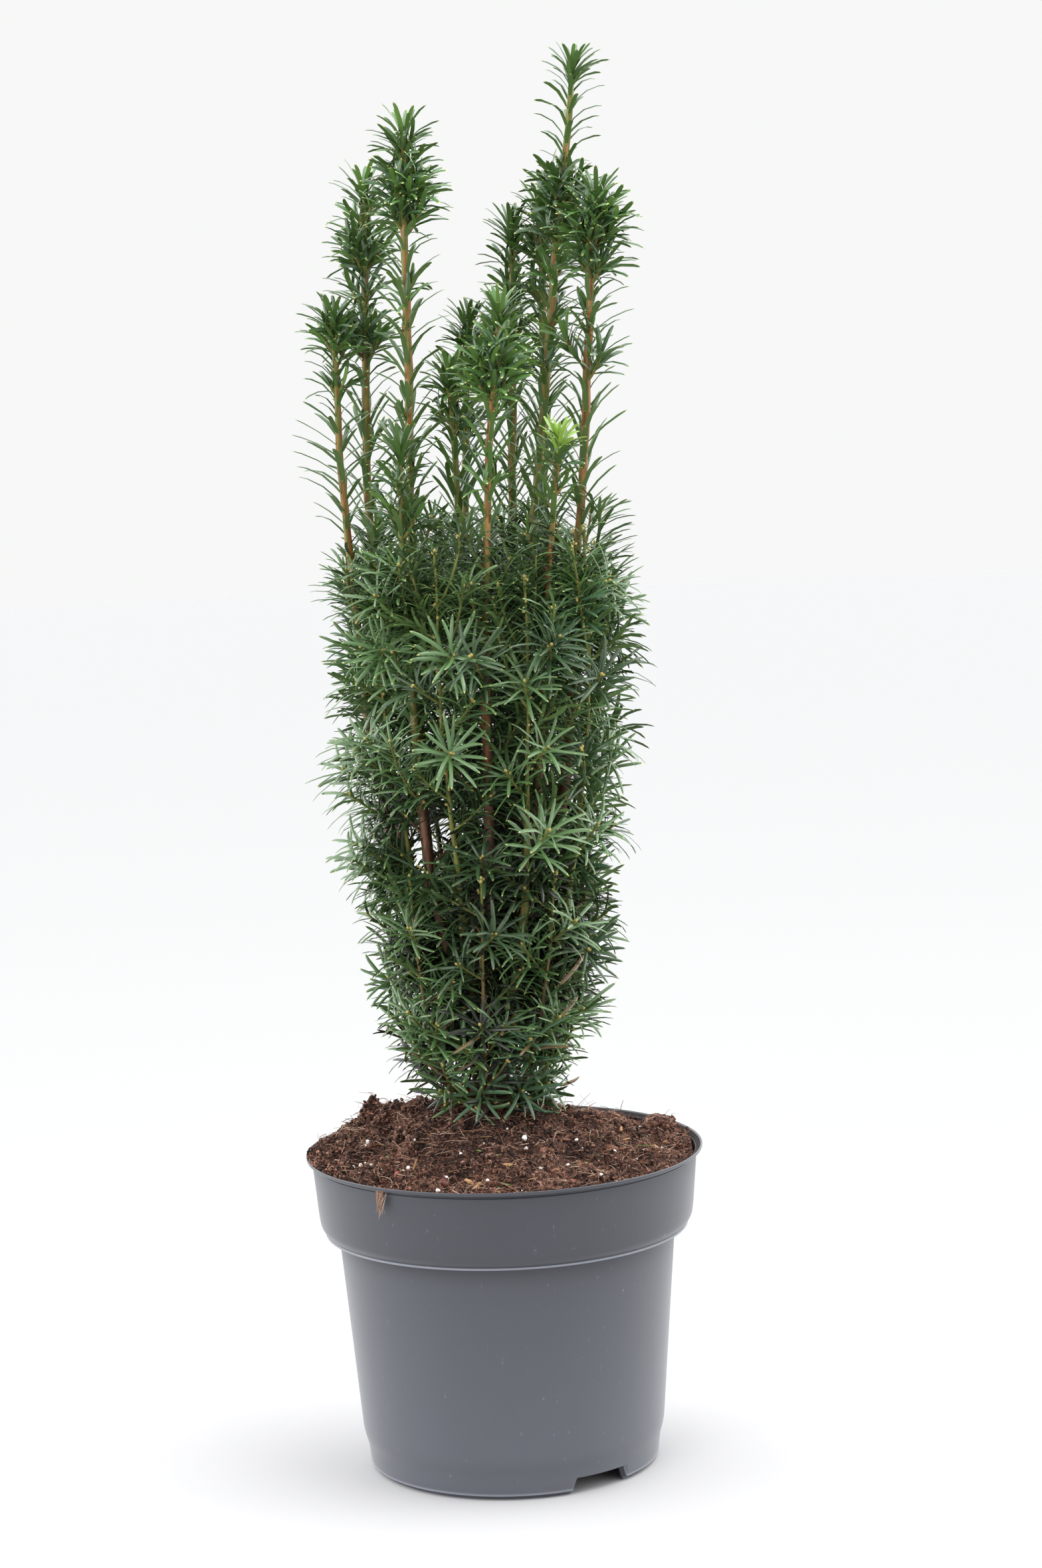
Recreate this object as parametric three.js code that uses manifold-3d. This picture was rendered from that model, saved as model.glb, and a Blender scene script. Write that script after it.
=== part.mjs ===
// English yew of upright habit in a ten-litre nursery pot, a metre tall.
// Millimetres, +Z up, the origin at the centre of the pot's foot, the front of the plant towards -Y.

import * as THREE from 'three';
import { mergeVertices } from 'three/addons/utils/BufferGeometryUtils.js';
import Module from 'manifold-3d';

const wasm = await Module();
wasm.setup();

// The clearance between pieces that touch, and the distance under which a join's corners are one
const GAP = 0.3;
const MERGE_DISTANCE = 0.01;

// Driving dimensions of the pot
const POT_SIDES = 36;
const POT_HEIGHT = 225;
const RIM_RADIUS = 140;
const LIP_DEPTH = 8;
const LIP_STAND_OUT = 4.4;
const BAND_DEPTH = 56.3;
const BAND_TAPER = 3.4;
const BODY_TOP_RADIUS = 119.1;
const BODY_FOOT_RADIUS = 107;
const FOOT_HEIGHT = 19;
const FOOT_RADIUS = 102.4;
const FOOT_RING_WIDTH = 2.8;
const WALL = 1.8;
const FLOOR_HEIGHT = 12;
const NOTCH_HEIGHT = 11.5;
const NOTCH_BASE_WIDTH = 48;
const NOTCH_TOP_WIDTH = 41;
const NOTCH_AZIMUTH = 35.5;
const DRAIN_RADIUS = 7;
const DRAIN_CIRCLE = 62;
const DRAIN_COUNT = 4;

// Driving dimensions of the soil
const SOIL_FRONT = 220;
const SOIL_BACK = 213;
const SOIL_CROWN = 255.5;
const SOIL_FLAT = 24;
const SOIL_LUMP = 2.2;
const LUMP_WAVES = [0.11, 0.13, 0.23, 0.19];
const HUMP = { x: -84, y: 42, height: 17, spread: 30 };

// Driving dimensions of the short trunk
const TRUNK_FOOT = new THREE.Vector2(-10, -2);
const TRUNK_LEAN = new THREE.Vector2(5, 2);
const TRUNK_TOP = 372;
const TRUNK_RADIUS = 12;
const TRUNK_TIP_RADIUS = 5.5;
const FLARE = 6;
const FLARE_HEIGHT = 9;
const ROOT_LOBE = 0.22;
const TRUNK_SIDES = 10;

// Heights that divide the crown, and the radius of its limbs
const KNEE_SHARE = 0.3;
const KNEE_SPREAD = 0.47;
const SPREAD_HEIGHT = 450;
const WAIST_HEIGHT = 660;
const LEADER_ENTRY = 470;
const FIRST_FOOT = 278;
const FOOT_STEP = 2;
const LIMB_CLEARANCE = 0.8;
const LEADER_RADIUS = 4.4;
const FLANK_RADIUS = 3.4;
const TIP_RADIUS = 1.5;

// The leaders: where each stands at the spread height and at the waist, its tip, and its tuft's depth
const LEADERS = [
  { name: 'leader_left_outer', spread: [-72, 4], waist: [-93, 0], tip: [-97, 0, 822], tuft: 70 },
  { name: 'leader_left_back', spread: [-66, 30], waist: [-78, 32], tip: [-73, 32, 910], tuft: 135 },
  { name: 'leader_left_tall', spread: [-46, -18], waist: [-48, -22], tip: [-43, -22, 938], tuft: 110 },
  { name: 'leader_left_front', spread: [-46, -46], waist: [-54, -52], tip: [-53, -52, 736], tuft: 55 },
  { name: 'leader_back', spread: [-13, 52], waist: [-12, 62], tip: [-3, 62, 820], tuft: 70 },
  { name: 'leader_centre', spread: [-14, 18], waist: [-16, 22], tip: [-19, 22, 786], tuft: 60 },
  { name: 'leader_front', spread: [-3, -52], waist: [3, -62], tip: [18, -62, 822], tuft: 85 },
  { name: 'leader_right_back', spread: [12, 40], waist: [22, 48], tip: [29, 48, 880], tuft: 90 },
  { name: 'leader_right_fork', spread: [34, 36], waist: [44, 40], tip: [50, 42, 896], tuft: 75 },
  { name: 'leader_tallest', spread: [14, 8], waist: [36, 14], tip: [74, 14, 977], tuft: 150 },
  { name: 'leader_right_tall', spread: [46, -14], waist: [67, -16], tip: [86, -16, 886], tuft: 110 },
  { name: 'leader_right_front', spread: [28, -44], waist: [47, -50], tip: [56, -50, 735], tuft: 45 },
];

// The flanks: dense shoots round the body of the crown, each on a side bough, by azimuth from +X
const FLANK_ENTRY = 408;
const FLANK_ENTRY_RADIUS = 58;
const FLANK_MID_HEIGHT = 540;
const FLANK_MID_RADIUS = 78;
const FLANK_TIP_RADIUS = 80;
const FLANKS = [
  { azimuth: 205, top: 648 },
  { azimuth: 246, top: 664 },
  { azimuth: 290, top: 645 },
  { azimuth: 331, top: 676 },
  { azimuth: 8, top: 655 },
  { azimuth: 47, top: 640 },
  { azimuth: 86, top: 652 },
  { azimuth: 128, top: 644 },
];

// The skirts: dense shoots that leave the foot of the trunk below every bough, each between two flanks,
// by radius and height
const SKIRT_FOOT = 263;
const SKIRT_ROUTE = [[21, 266], [37, 279], [52, 308], [64, 355], [71, 397], [75, 434]];

// Twigs: how many, how far above the mass's foot or apart, their length, and their angle from upright
const BODY_TWIGS = { count: 3, first: 22, step: 48, length: 34, rise: 40 };
const TUFT_TWIGS = { count: 3, share: 0.3, length: 13, rise: 48 };
const FLANK_TWIGS = { count: 7, first: 8, length: 30, rise: 52 };
const SKIRT_TWIGS = { count: 6, first: 12, length: 30, rise: 52 };
const TWIG_END = 26;
const TWIG_NEEDLES = 3;
const OUTER_SWING = 0.62;

// Needles, twigs and the slim cores of the dense masses
const NEEDLE = { length: 29, width: 5.4, thickness: 1.7 };
const BODY_NEEDLE = { length: 36, width: 7, thickness: 2.2 };
const LEADER_NEEDLE_PITCH = 20;
const DENSE_NEEDLES = 9;
const NEEDLE_WIDEST = 0.42;
const NEEDLE_OPEN = 60;
const NEEDLE_OPEN_AT_TIP = 24;
const SHORTENED = 0.7;
const GOLDEN_ANGLE = THREE.MathUtils.degToRad(137.508);
const TWIG_RADIUS = 1.7;
const CORE_RADIUS = 12.5;
const CORE_SIDES = 5;
const CORE_SHARES = [0.06, 0.22, 0.4, 0.58, 0.76, 0.92];
const CORE_MARGIN = 0.4;

const Z_AXIS = new THREE.Vector3(0, 0, 1);
const X_AXIS = new THREE.Vector3(1, 0, 0);

// Small helpers

function seeded(seed) {
  let state = (seed * 2654435761 + 12345) >>> 0;
  return () => {
    state = (Math.imul(state, 1664525) + 1013904223) >>> 0;
    return state / 4294967296;
  };
}

function smooth(low, high, value) {
  const t = THREE.MathUtils.clamp((value - low) / (high - low), 0, 1);
  return t * t * (3 - 2 * t);
}

function around(azimuth, radius, z) {
  return new THREE.Vector3(radius * Math.cos(azimuth), radius * Math.sin(azimuth), z);
}

function perpendicular(direction) {
  const reference = Math.abs(direction.z) < 0.9 ? Z_AXIS : X_AXIS;
  return new THREE.Vector3().crossVectors(direction, reference).normalize();
}

// Closed meshes and their joins

// A solid skinned over rings of points; a ring of one point is a pole, any other end ring is capped flat
function skin(rings) {
  const points = rings.flat();
  const starts = [];
  let total = 0;
  for (const ring of rings) {
    starts.push(total);
    total += ring.length;
  }
  const faces = [];
  for (let i = 0; i + 1 < rings.length; i += 1) {
    const low = rings[i].length;
    const high = rings[i + 1].length;
    for (let k = 0; k < Math.max(low, high); k += 1) {
      const a = starts[i] + (k % low);
      const b = starts[i] + ((k + 1) % low);
      const c = starts[i + 1] + (k % high);
      const d = starts[i + 1] + ((k + 1) % high);
      if (low > 1) faces.push(a, b, d);
      if (high > 1) faces.push(a, d, c);
    }
  }
  const last = rings.length - 1;
  for (let k = 1; k + 1 < rings[0].length; k += 1) faces.push(0, k + 1, k);
  for (let k = 1; k + 1 < rings[last].length; k += 1) {
    faces.push(starts[last], starts[last] + k, starts[last] + k + 1);
  }
  const geometry = new THREE.BufferGeometry();
  geometry.setFromPoints(points);
  geometry.setIndex(faces);
  return geometry;
}

function solidOf(geometry) {
  const bare = geometry.clone();
  bare.deleteAttribute('normal');
  bare.deleteAttribute('uv');
  const merged = mergeVertices(bare, 1e-4);
  const index = Array.from(merged.index.array);
  const faces = [];
  for (let i = 0; i < index.length; i += 3) {
    const [a, b, c] = index.slice(i, i + 3);
    if (a !== b && b !== c && c !== a) faces.push(a, b, c);
  }
  return new wasm.Manifold(new wasm.Mesh({
    numProp: 3,
    vertProperties: new Float32Array(merged.attributes.position.array),
    triVerts: new Uint32Array(faces),
  }));
}

function geometryOf(solid) {
  const mesh = solid.setTolerance(MERGE_DISTANCE).getMesh();
  const geometry = new THREE.BufferGeometry();
  geometry.setAttribute('position', new THREE.BufferAttribute(new Float32Array(mesh.vertProperties), 3));
  geometry.setIndex(Array.from(mesh.triVerts));
  geometry.computeVertexNormals();
  return geometry;
}

function joined(geometries) {
  return geometries.map(solidOf).reduce((sum, solid) => sum.add(solid));
}

// A tapering limb of round section along a path, its section carried along without twist
function limb(path, radii, sides) {
  let side = perpendicular(path[1].clone().sub(path[0]).normalize());
  const rings = path.map((point, i) => {
    const before = path[Math.max(i - 1, 0)];
    const after = path[Math.min(i + 1, path.length - 1)];
    const forward = after.clone().sub(before).normalize();
    side = side.clone().addScaledVector(forward, -side.dot(forward)).normalize();
    const up = new THREE.Vector3().crossVectors(forward, side);
    return Array.from({ length: sides }, (_, k) => {
      const turn = (2 * Math.PI * k) / sides;
      return point.clone()
        .addScaledVector(side, radii[i] * Math.cos(turn))
        .addScaledVector(up, radii[i] * Math.sin(turn));
    });
  });
  return skin(rings);
}

// A three-sided twig that comes to a point
function twigSolid(root, tip) {
  const forward = tip.clone().sub(root).normalize();
  const side = perpendicular(forward);
  const up = new THREE.Vector3().crossVectors(forward, side);
  const ring = [0, 1, 2].map((k) => {
    const turn = (2 * Math.PI * k) / 3;
    return root.clone()
      .addScaledVector(side, TWIG_RADIUS * Math.cos(turn))
      .addScaledVector(up, TWIG_RADIUS * Math.sin(turn));
  });
  return skin([ring, [tip]]);
}

// A needle of eight faces, widest at two fifths of its length, its broad side turned across the shoot
function needleSolid(root, tip, shootDirection, size) {
  const forward = tip.clone().sub(root).normalize();
  const broad = new THREE.Vector3().crossVectors(shootDirection, forward).normalize();
  const deep = new THREE.Vector3().crossVectors(forward, broad);
  const middle = root.clone().lerp(tip, NEEDLE_WIDEST);
  const ring = [
    middle.clone().addScaledVector(broad, size.width / 2),
    middle.clone().addScaledVector(deep, size.thickness / 2),
    middle.clone().addScaledVector(broad, -size.width / 2),
    middle.clone().addScaledVector(deep, -size.thickness / 2),
  ];
  return skin([[root], ring, [tip]]);
}

// Pot

// The wall as radius and height pairs: from the axis under the floor, out, up to the lip, and back inside
function potProfile() {
  const bandFoot = POT_HEIGHT - BAND_DEPTH;
  const lipFoot = POT_HEIGHT - LIP_DEPTH;
  const bandTop = RIM_RADIUS - LIP_STAND_OUT;
  const bandLow = bandTop - BAND_TAPER;
  const pairs = [
    [0, FLOOR_HEIGHT],
    [FOOT_RADIUS - FOOT_RING_WIDTH, FLOOR_HEIGHT],
    [FOOT_RADIUS - FOOT_RING_WIDTH, 0],
    [FOOT_RADIUS, 0],
    [FOOT_RADIUS + 1.6, FOOT_HEIGHT],
    [BODY_FOOT_RADIUS, FOOT_HEIGHT + 4.5],
    [BODY_TOP_RADIUS, bandFoot],
    [bandLow - 5, bandFoot + 1.6],
    [bandLow - 1.2, bandFoot + 5.6],
    [bandLow, bandFoot + 13],
    [bandTop, lipFoot],
    [RIM_RADIUS - 0.8, lipFoot + 0.8],
    [RIM_RADIUS, lipFoot + 2.4],
    [RIM_RADIUS, POT_HEIGHT - 1.5],
    [RIM_RADIUS - 1.4, POT_HEIGHT],
    [bandTop + 0.6, POT_HEIGHT],
    [bandTop - WALL, lipFoot + 1],
    [bandLow - WALL, bandFoot + 14],
    [bandLow - 6, bandFoot + 4.2],
    [BODY_TOP_RADIUS - WALL, bandFoot + 2],
    [BODY_FOOT_RADIUS - WALL, FOOT_HEIGHT + 5.5],
    [FOOT_RADIUS - 0.4, FLOOR_HEIGHT + WALL],
    [0, FLOOR_HEIGHT + WALL],
  ];
  return pairs.map(([radius, height]) => new THREE.Vector2(radius, height));
}

// A drainage notch through the foot: a trapezium, wider below, extruded outwards from inside the ring
function notchCutter(azimuth) {
  const outline = new THREE.Shape();
  outline.moveTo(-NOTCH_BASE_WIDTH / 2, -1);
  outline.lineTo(NOTCH_BASE_WIDTH / 2, -1);
  outline.lineTo(NOTCH_TOP_WIDTH / 2, NOTCH_HEIGHT);
  outline.lineTo(-NOTCH_TOP_WIDTH / 2, NOTCH_HEIGHT);
  outline.closePath();
  const cutter = new THREE.ExtrudeGeometry(outline, { depth: 40, bevelEnabled: false });
  cutter.rotateX(Math.PI / 2);
  cutter.translate(0, -FOOT_RADIUS + 20, 0);
  cutter.rotateZ(THREE.MathUtils.degToRad(azimuth));
  return cutter;
}

function drainCutter(azimuth) {
  const cutter = new THREE.CylinderGeometry(DRAIN_RADIUS, DRAIN_RADIUS, 12, 8);
  cutter.rotateX(Math.PI / 2);
  const centre = around(azimuth, DRAIN_CIRCLE, FLOOR_HEIGHT);
  cutter.translate(centre.x, centre.y, centre.z);
  return cutter;
}

function potGeometry() {
  const wall = new THREE.LatheGeometry(potProfile(), POT_SIDES);
  wall.rotateX(Math.PI / 2);
  let pot = solidOf(wall);
  for (const azimuth of [NOTCH_AZIMUTH, NOTCH_AZIMUTH + 180]) {
    pot = pot.subtract(solidOf(notchCutter(azimuth)));
  }
  for (let k = 0; k < DRAIN_COUNT; k += 1) {
    pot = pot.subtract(solidOf(drainCutter((2 * Math.PI * (k + 0.5)) / DRAIN_COUNT)));
  }
  return geometryOf(pot);
}

// Soil

// The height of the soil at a place: a mound round the trunk, a hump at the back left, and coarse lumps
function soilHeight(x, y) {
  const reach = Math.hypot(x - TRUNK_FOOT.x, y - TRUNK_FOOT.y);
  const edge = THREE.MathUtils.lerp(SOIL_FRONT, SOIL_BACK, smooth(-60, 120, y + 0.4 * x));
  const mound = 1 - smooth(SOIL_FLAT, RIM_RADIUS - 12, reach);
  const hump = HUMP.height * Math.exp(-((x - HUMP.x) ** 2 + (y - HUMP.y) ** 2) / HUMP.spread ** 2);
  const [a, b, c, d] = LUMP_WAVES;
  const lumps = SOIL_LUMP * (Math.sin(a * x + 1.3) * Math.cos(b * y - 0.4) + Math.sin(c * x - d * y));
  return THREE.MathUtils.lerp(edge, SOIL_CROWN, mound) + (hump + lumps) * (1 - mound ** 3);
}

function soilGeometry() {
  const bandFoot = POT_HEIGHT - BAND_DEPTH;
  const bandLow = RIM_RADIUS - LIP_STAND_OUT - BAND_TAPER;
  const inset = WALL + 0.5;
  const side = [
    [FOOT_RADIUS - 1.2, FLOOR_HEIGHT + WALL + GAP],
    [BODY_FOOT_RADIUS - inset, FOOT_HEIGHT + 6.5],
    [BODY_TOP_RADIUS - inset, bandFoot + 2.6],
    [bandLow - 6.8, bandFoot + 5],
    [bandLow - inset, bandFoot + 15],
    [bandLow - inset + 2.4, bandFoot + 38],
  ];
  const rings = side.map(([radius, z]) => ringAt(0, 0, radius, () => z));
  const topRadius = bandLow - inset + 2.6;
  for (const share of [1, 0.8, 0.56, 0.34]) {
    const x = TRUNK_FOOT.x * (1 - share);
    const y = TRUNK_FOOT.y * (1 - share);
    rings.push(ringAt(x, y, topRadius * share, soilHeight));
  }
  rings.push(ringAt(TRUNK_FOOT.x, TRUNK_FOOT.y, SOIL_FLAT - 1, () => SOIL_CROWN));
  return skin(rings);
}

function ringAt(x, y, radius, heightAt) {
  return Array.from({ length: POT_SIDES }, (_, k) => {
    const turn = (2 * Math.PI * k) / POT_SIDES;
    const px = x + radius * Math.cos(turn);
    const py = y + radius * Math.sin(turn);
    return new THREE.Vector3(px, py, heightAt(px, py));
  });
}

// Trunk

const TRUNK_BASE = SOIL_CROWN + GAP;

function trunkCentre(z) {
  const rise = (z - TRUNK_BASE) / (TRUNK_TOP - TRUNK_BASE);
  return new THREE.Vector3(TRUNK_FOOT.x + TRUNK_LEAN.x * rise, TRUNK_FOOT.y + TRUNK_LEAN.y * rise, z);
}

function trunkRadius(z) {
  const rise = THREE.MathUtils.clamp((z - TRUNK_BASE) / (TRUNK_TOP - TRUNK_BASE), 0, 1);
  const flare = FLARE * Math.exp(-(z - TRUNK_BASE) / FLARE_HEIGHT);
  return THREE.MathUtils.lerp(TRUNK_RADIUS, TRUNK_TIP_RADIUS, rise) + flare;
}

// Level rings from the flat cut on the soil up to the tip, the lowest ones flared into root lobes
function trunkGeometry(extra) {
  const heights = [0, 6, 14, 30, 55, 85, TRUNK_TOP - TRUNK_BASE].map((rise) => TRUNK_BASE + rise);
  return skin(heights.map((z) => (
    Array.from({ length: TRUNK_SIDES }, (_, k) => {
      const lobe = k % 2 === 0 ? 1 : 1 - ROOT_LOBE * Math.exp((TRUNK_BASE - z) / FLARE_HEIGHT);
      const turn = (2 * Math.PI * k) / TRUNK_SIDES;
      return trunkCentre(z).add(around(turn, trunkRadius(z) * lobe + extra, 0));
    })
  )));
}

// Routes of limbs: knots in rising order, joined by cubic curves in height

function slopeAt(knots, i, axis) {
  const before = knots[Math.max(i - 1, 0)];
  const after = knots[Math.min(i + 1, knots.length - 1)];
  return (after[axis] - before[axis]) / (after[2] - before[2]);
}

function onRoute(knots, z) {
  let i = 0;
  while (i < knots.length - 2 && z > knots[i + 1][2]) i += 1;
  const span = knots[i + 1][2] - knots[i][2];
  const t = (z - knots[i][2]) / span;
  const place = [0, 1].map((axis) => (
    (2 * t ** 3 - 3 * t ** 2 + 1) * knots[i][axis]
    + (t ** 3 - 2 * t ** 2 + t) * span * slopeAt(knots, i, axis)
    + (3 * t ** 2 - 2 * t ** 3) * knots[i + 1][axis]
    + (t ** 3 - t ** 2) * span * slopeAt(knots, i + 1, axis)
  ));
  return new THREE.Vector3(place[0], place[1], z);
}

function pathAlong(knots, low, high, steps) {
  return Array.from({ length: steps + 1 }, (_, i) => onRoute(knots, low + ((high - low) * i) / steps));
}

function distanceTo(path, point) {
  let least = Infinity;
  const line = new THREE.Line3();
  const nearest = new THREE.Vector3();
  for (let i = 0; i + 1 < path.length; i += 1) {
    line.set(path[i], path[i + 1]);
    line.closestPointToPoint(point, true, nearest);
    least = Math.min(least, nearest.distanceTo(point));
  }
  return least;
}

// Each bough leaves the trunk at the lowest height that keeps it clear of the boughs already placed,
// those that spread widest first
function routeFrom(foot, spread, beyond) {
  const start = trunkCentre(foot);
  const kneeHeight = foot + KNEE_SHARE * (spread[2] - foot);
  const knee = [0, 1].map((axis) => (
    start.getComponent(axis) + KNEE_SPREAD * (spread[axis] - start.getComponent(axis))
  ));
  return [[start.x, start.y, foot], [knee[0], knee[1], kneeHeight], spread, ...beyond];
}

function placeBoughs(plans) {
  const placed = [];
  const order = [...plans].sort((a, b) => b.reach - a.reach);
  for (const plan of order) {
    for (let foot = FIRST_FOOT; foot < TRUNK_TOP - 6 && !plan.knots; foot += FOOT_STEP) {
      const knots = routeFrom(foot, plan.spread, plan.beyond);
      const path = pathAlong(knots, foot, plan.entry, 24);
      const outside = path.filter((point) => (
        point.distanceTo(trunkCentre(point.z)) + plan.radius > trunkRadius(point.z)
      ));
      const clear = placed.every((other) => outside.every((point) => (
        distanceTo(other.outside, point) > plan.radius + other.radius + LIMB_CLEARANCE
      )));
      if (clear) {
        plan.knots = knots;
        plan.path = path;
        plan.outside = outside;
        placed.push(plan);
      }
    }
    if (!plan.knots) throw new Error(`no clear foot for ${plan.name}`);
  }
}

function boughPlans() {
  const leaders = LEADERS.map((leader) => ({
    name: leader.name,
    kind: 'leader',
    spread: [...leader.spread, SPREAD_HEIGHT],
    beyond: [[...leader.waist, WAIST_HEIGHT], leader.tip],
    entry: LEADER_ENTRY,
    radius: LEADER_RADIUS * THREE.MathUtils.lerp(0.75, 1, smooth(730, 900, leader.tip[2])),
    top: leader.tip[2],
    tuft: leader.tuft,
  }));
  const flanks = FLANKS.map((flank, i) => {
    const azimuth = THREE.MathUtils.degToRad(flank.azimuth);
    const [entry, middle, tip] = [
      around(azimuth, FLANK_ENTRY_RADIUS, FLANK_ENTRY),
      around(azimuth, FLANK_MID_RADIUS, FLANK_MID_HEIGHT),
      around(azimuth, FLANK_TIP_RADIUS, flank.top),
    ];
    return {
      name: `flank_${i + 1}`,
      kind: 'flank',
      spread: entry.toArray(),
      beyond: [middle.toArray(), tip.toArray()],
      entry: FLANK_ENTRY,
      radius: FLANK_RADIUS,
      top: flank.top,
      outward: azimuth,
    };
  });
  const plans = [...leaders, ...flanks];
  for (const plan of plans) plan.reach = Math.hypot(plan.spread[0], plan.spread[1]);
  return plans;
}

function boughGeometry(plan, wideTrunk) {
  const foot = plan.knots[0][2];
  const path = pathAlong(plan.knots, foot, plan.entry, 7);
  const radii = path.map((_, i) => THREE.MathUtils.lerp(plan.radius, plan.radius * 0.86, i / 7));
  return geometryOf(solidOf(limb(path, radii, 4)).subtract(wideTrunk));
}

// Masses of foliage

function skirtPlans() {
  return FLANKS.map((flank, i) => {
    const next = FLANKS[(i + 1) % FLANKS.length].azimuth;
    const step = (next - flank.azimuth + 360) % 360;
    const azimuth = THREE.MathUtils.degToRad(flank.azimuth + step / 2);
    const start = trunkCentre(SKIRT_FOOT);
    const knots = SKIRT_ROUTE.map(([radius, z]) => {
      const centre = THREE.MathUtils.lerp(TRUNK_FOOT.x, 0, smooth(SKIRT_FOOT, WAIST_HEIGHT, z));
      return around(azimuth, radius, z).add(new THREE.Vector3(centre, 0, 0)).toArray();
    });
    return {
      name: `skirt_${i + 1}`,
      kind: 'skirt',
      knots: [start.toArray(), ...knots],
      entry: SKIRT_FOOT,
      radius: FLANK_RADIUS,
      top: SKIRT_ROUTE[SKIRT_ROUTE.length - 1][1],
      outward: azimuth,
    };
  });
}

// A point is in a mass's own space when it is nearer to that mass's stem than to any other,
// and clear of every bough, of the trunk and of the soil
function inOwnSpace(mass, point, halfWidth, masses, boughs) {
  const own = distanceTo(mass.stem, point);
  const margin = halfWidth + GAP;
  for (const other of masses) {
    if (other !== mass && distanceTo(other.stem, point) - own < 2 * margin) return false;
  }
  for (const bough of boughs) {
    if (distanceTo(bough.path, point) < bough.radius + margin + 0.5) return false;
  }
  const trunk = trunkCentre(Math.min(point.z, TRUNK_TOP));
  if (point.distanceTo(trunk) < trunkRadius(point.z) + margin + 0.5) return false;
  return point.z > soilHeight(point.x, point.y) + SOIL_LUMP + margin;
}

function fits(mass, root, tip, halfWidth, masses, boughs) {
  return [0.3, 0.45, 0.6, 0.8, 1].every((share) => (
    inOwnSpace(mass, root.clone().lerp(tip, share), halfWidth, masses, boughs)
  ));
}

// The twigs of a mass: leaders carry long ones in the body of the crown and short ones in the tuft
// below the tip, flanks and skirts carry theirs all the way up on the outer side
function twigPlans(mass, seed) {
  const random = seeded(seed);
  const sites = [];
  if (mass.kind === 'leader') {
    for (let k = 0; k < BODY_TWIGS.count; k += 1) {
      sites.push({ ...BODY_TWIGS, z: LEADER_ENTRY + BODY_TWIGS.first + BODY_TWIGS.step * k });
    }
    for (let k = 0; k < TUFT_TWIGS.count; k += 1) {
      sites.push({ ...TUFT_TWIGS, z: mass.top - mass.tuft * (1 - TUFT_TWIGS.share * k) });
    }
  } else {
    const twigs = mass.kind === 'flank' ? FLANK_TWIGS : SKIRT_TWIGS;
    for (let k = 0; k < twigs.count; k += 1) {
      const z = THREE.MathUtils.lerp(mass.entry + twigs.first, mass.top - TWIG_END, k / (twigs.count - 1));
      sites.push({ ...twigs, z });
    }
  }
  return sites.map((site, k) => {
    const wander = random();
    const swing = (((k * GOLDEN_ANGLE + wander) % (2 * Math.PI)) - Math.PI);
    const azimuth = mass.outward === undefined ? swing : mass.outward + swing * OUTER_SWING;
    const lean = THREE.MathUtils.degToRad(site.rise);
    const root = onRoute(mass.knots, site.z);
    const length = site.length * (0.85 + 0.3 * random());
    const tip = root.clone()
      .addScaledVector(around(azimuth, 1, 0), length * Math.sin(lean))
      .addScaledVector(Z_AXIS, length * Math.cos(lean));
    return { root, tip };
  });
}

// The needles of one shoot, spiralling up it and closing towards its tip
function needlePlans(path, count, size, seed, firstShare, lastShare) {
  const random = seeded(seed);
  const phase = random() * 2 * Math.PI;
  return Array.from({ length: count }, (_, i) => {
    const share = THREE.MathUtils.lerp(firstShare, lastShare, i / (count - 1));
    const place = share * (path.length - 1);
    const step = Math.min(Math.floor(place), path.length - 2);
    const root = path[step].clone().lerp(path[step + 1], place - step);
    const forward = path[step + 1].clone().sub(path[step]).normalize();
    const side = perpendicular(forward);
    const up = new THREE.Vector3().crossVectors(forward, side);
    const turn = phase + i * GOLDEN_ANGLE;
    const closing = (i / (count - 1)) ** 3;
    const open = THREE.MathUtils.degToRad(THREE.MathUtils.lerp(NEEDLE_OPEN, NEEDLE_OPEN_AT_TIP, closing));
    const length = size.length * (0.85 + 0.2 * random());
    const tip = root.clone()
      .addScaledVector(side, Math.cos(turn) * Math.sin(open) * length)
      .addScaledVector(up, Math.sin(turn) * Math.sin(open) * length)
      .addScaledVector(forward, Math.cos(open) * length);
    return { root, tip, forward };
  });
}

// The slim core of a dense mass: each corner is drawn in until the patch round it is in the mass's own space
function coreGeometry(mass, seed, masses, boughs) {
  const random = seeded(seed);
  const low = mass.kind === 'skirt' ? SKIRT_FOOT + 6 : mass.entry;
  const at = (share, azimuth, radius) => (
    onRoute(mass.knots, THREE.MathUtils.lerp(low, mass.top, share)).add(around(azimuth, radius, 0))
  );
  const patch = [-1, -0.5, 0, 0.5, 1];
  const rings = CORE_SHARES.map((share, i) => {
    const below = CORE_SHARES[Math.max(i - 1, 0)];
    const above = CORE_SHARES[Math.min(i + 1, CORE_SHARES.length - 1)];
    const bulge = Math.sin(Math.PI * (0.14 + 0.72 * share));
    return Array.from({ length: CORE_SIDES }, (_, k) => {
      const azimuth = (2 * Math.PI * k) / CORE_SIDES;
      const free = (radius) => patch.every((up) => patch.every((turn) => {
        const near = THREE.MathUtils.lerp(share, up < 0 ? below : above, Math.abs(up));
        const point = at(near, azimuth + (turn * Math.PI) / CORE_SIDES, radius);
        return inOwnSpace(mass, point, CORE_MARGIN, masses, boughs);
      }));
      let radius = CORE_RADIUS * bulge * (0.8 + 0.4 * random());
      while (radius > TIP_RADIUS && !free(radius)) radius *= 0.88;
      return at(share, azimuth, radius);
    });
  });
  return skin(rings);
}

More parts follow.
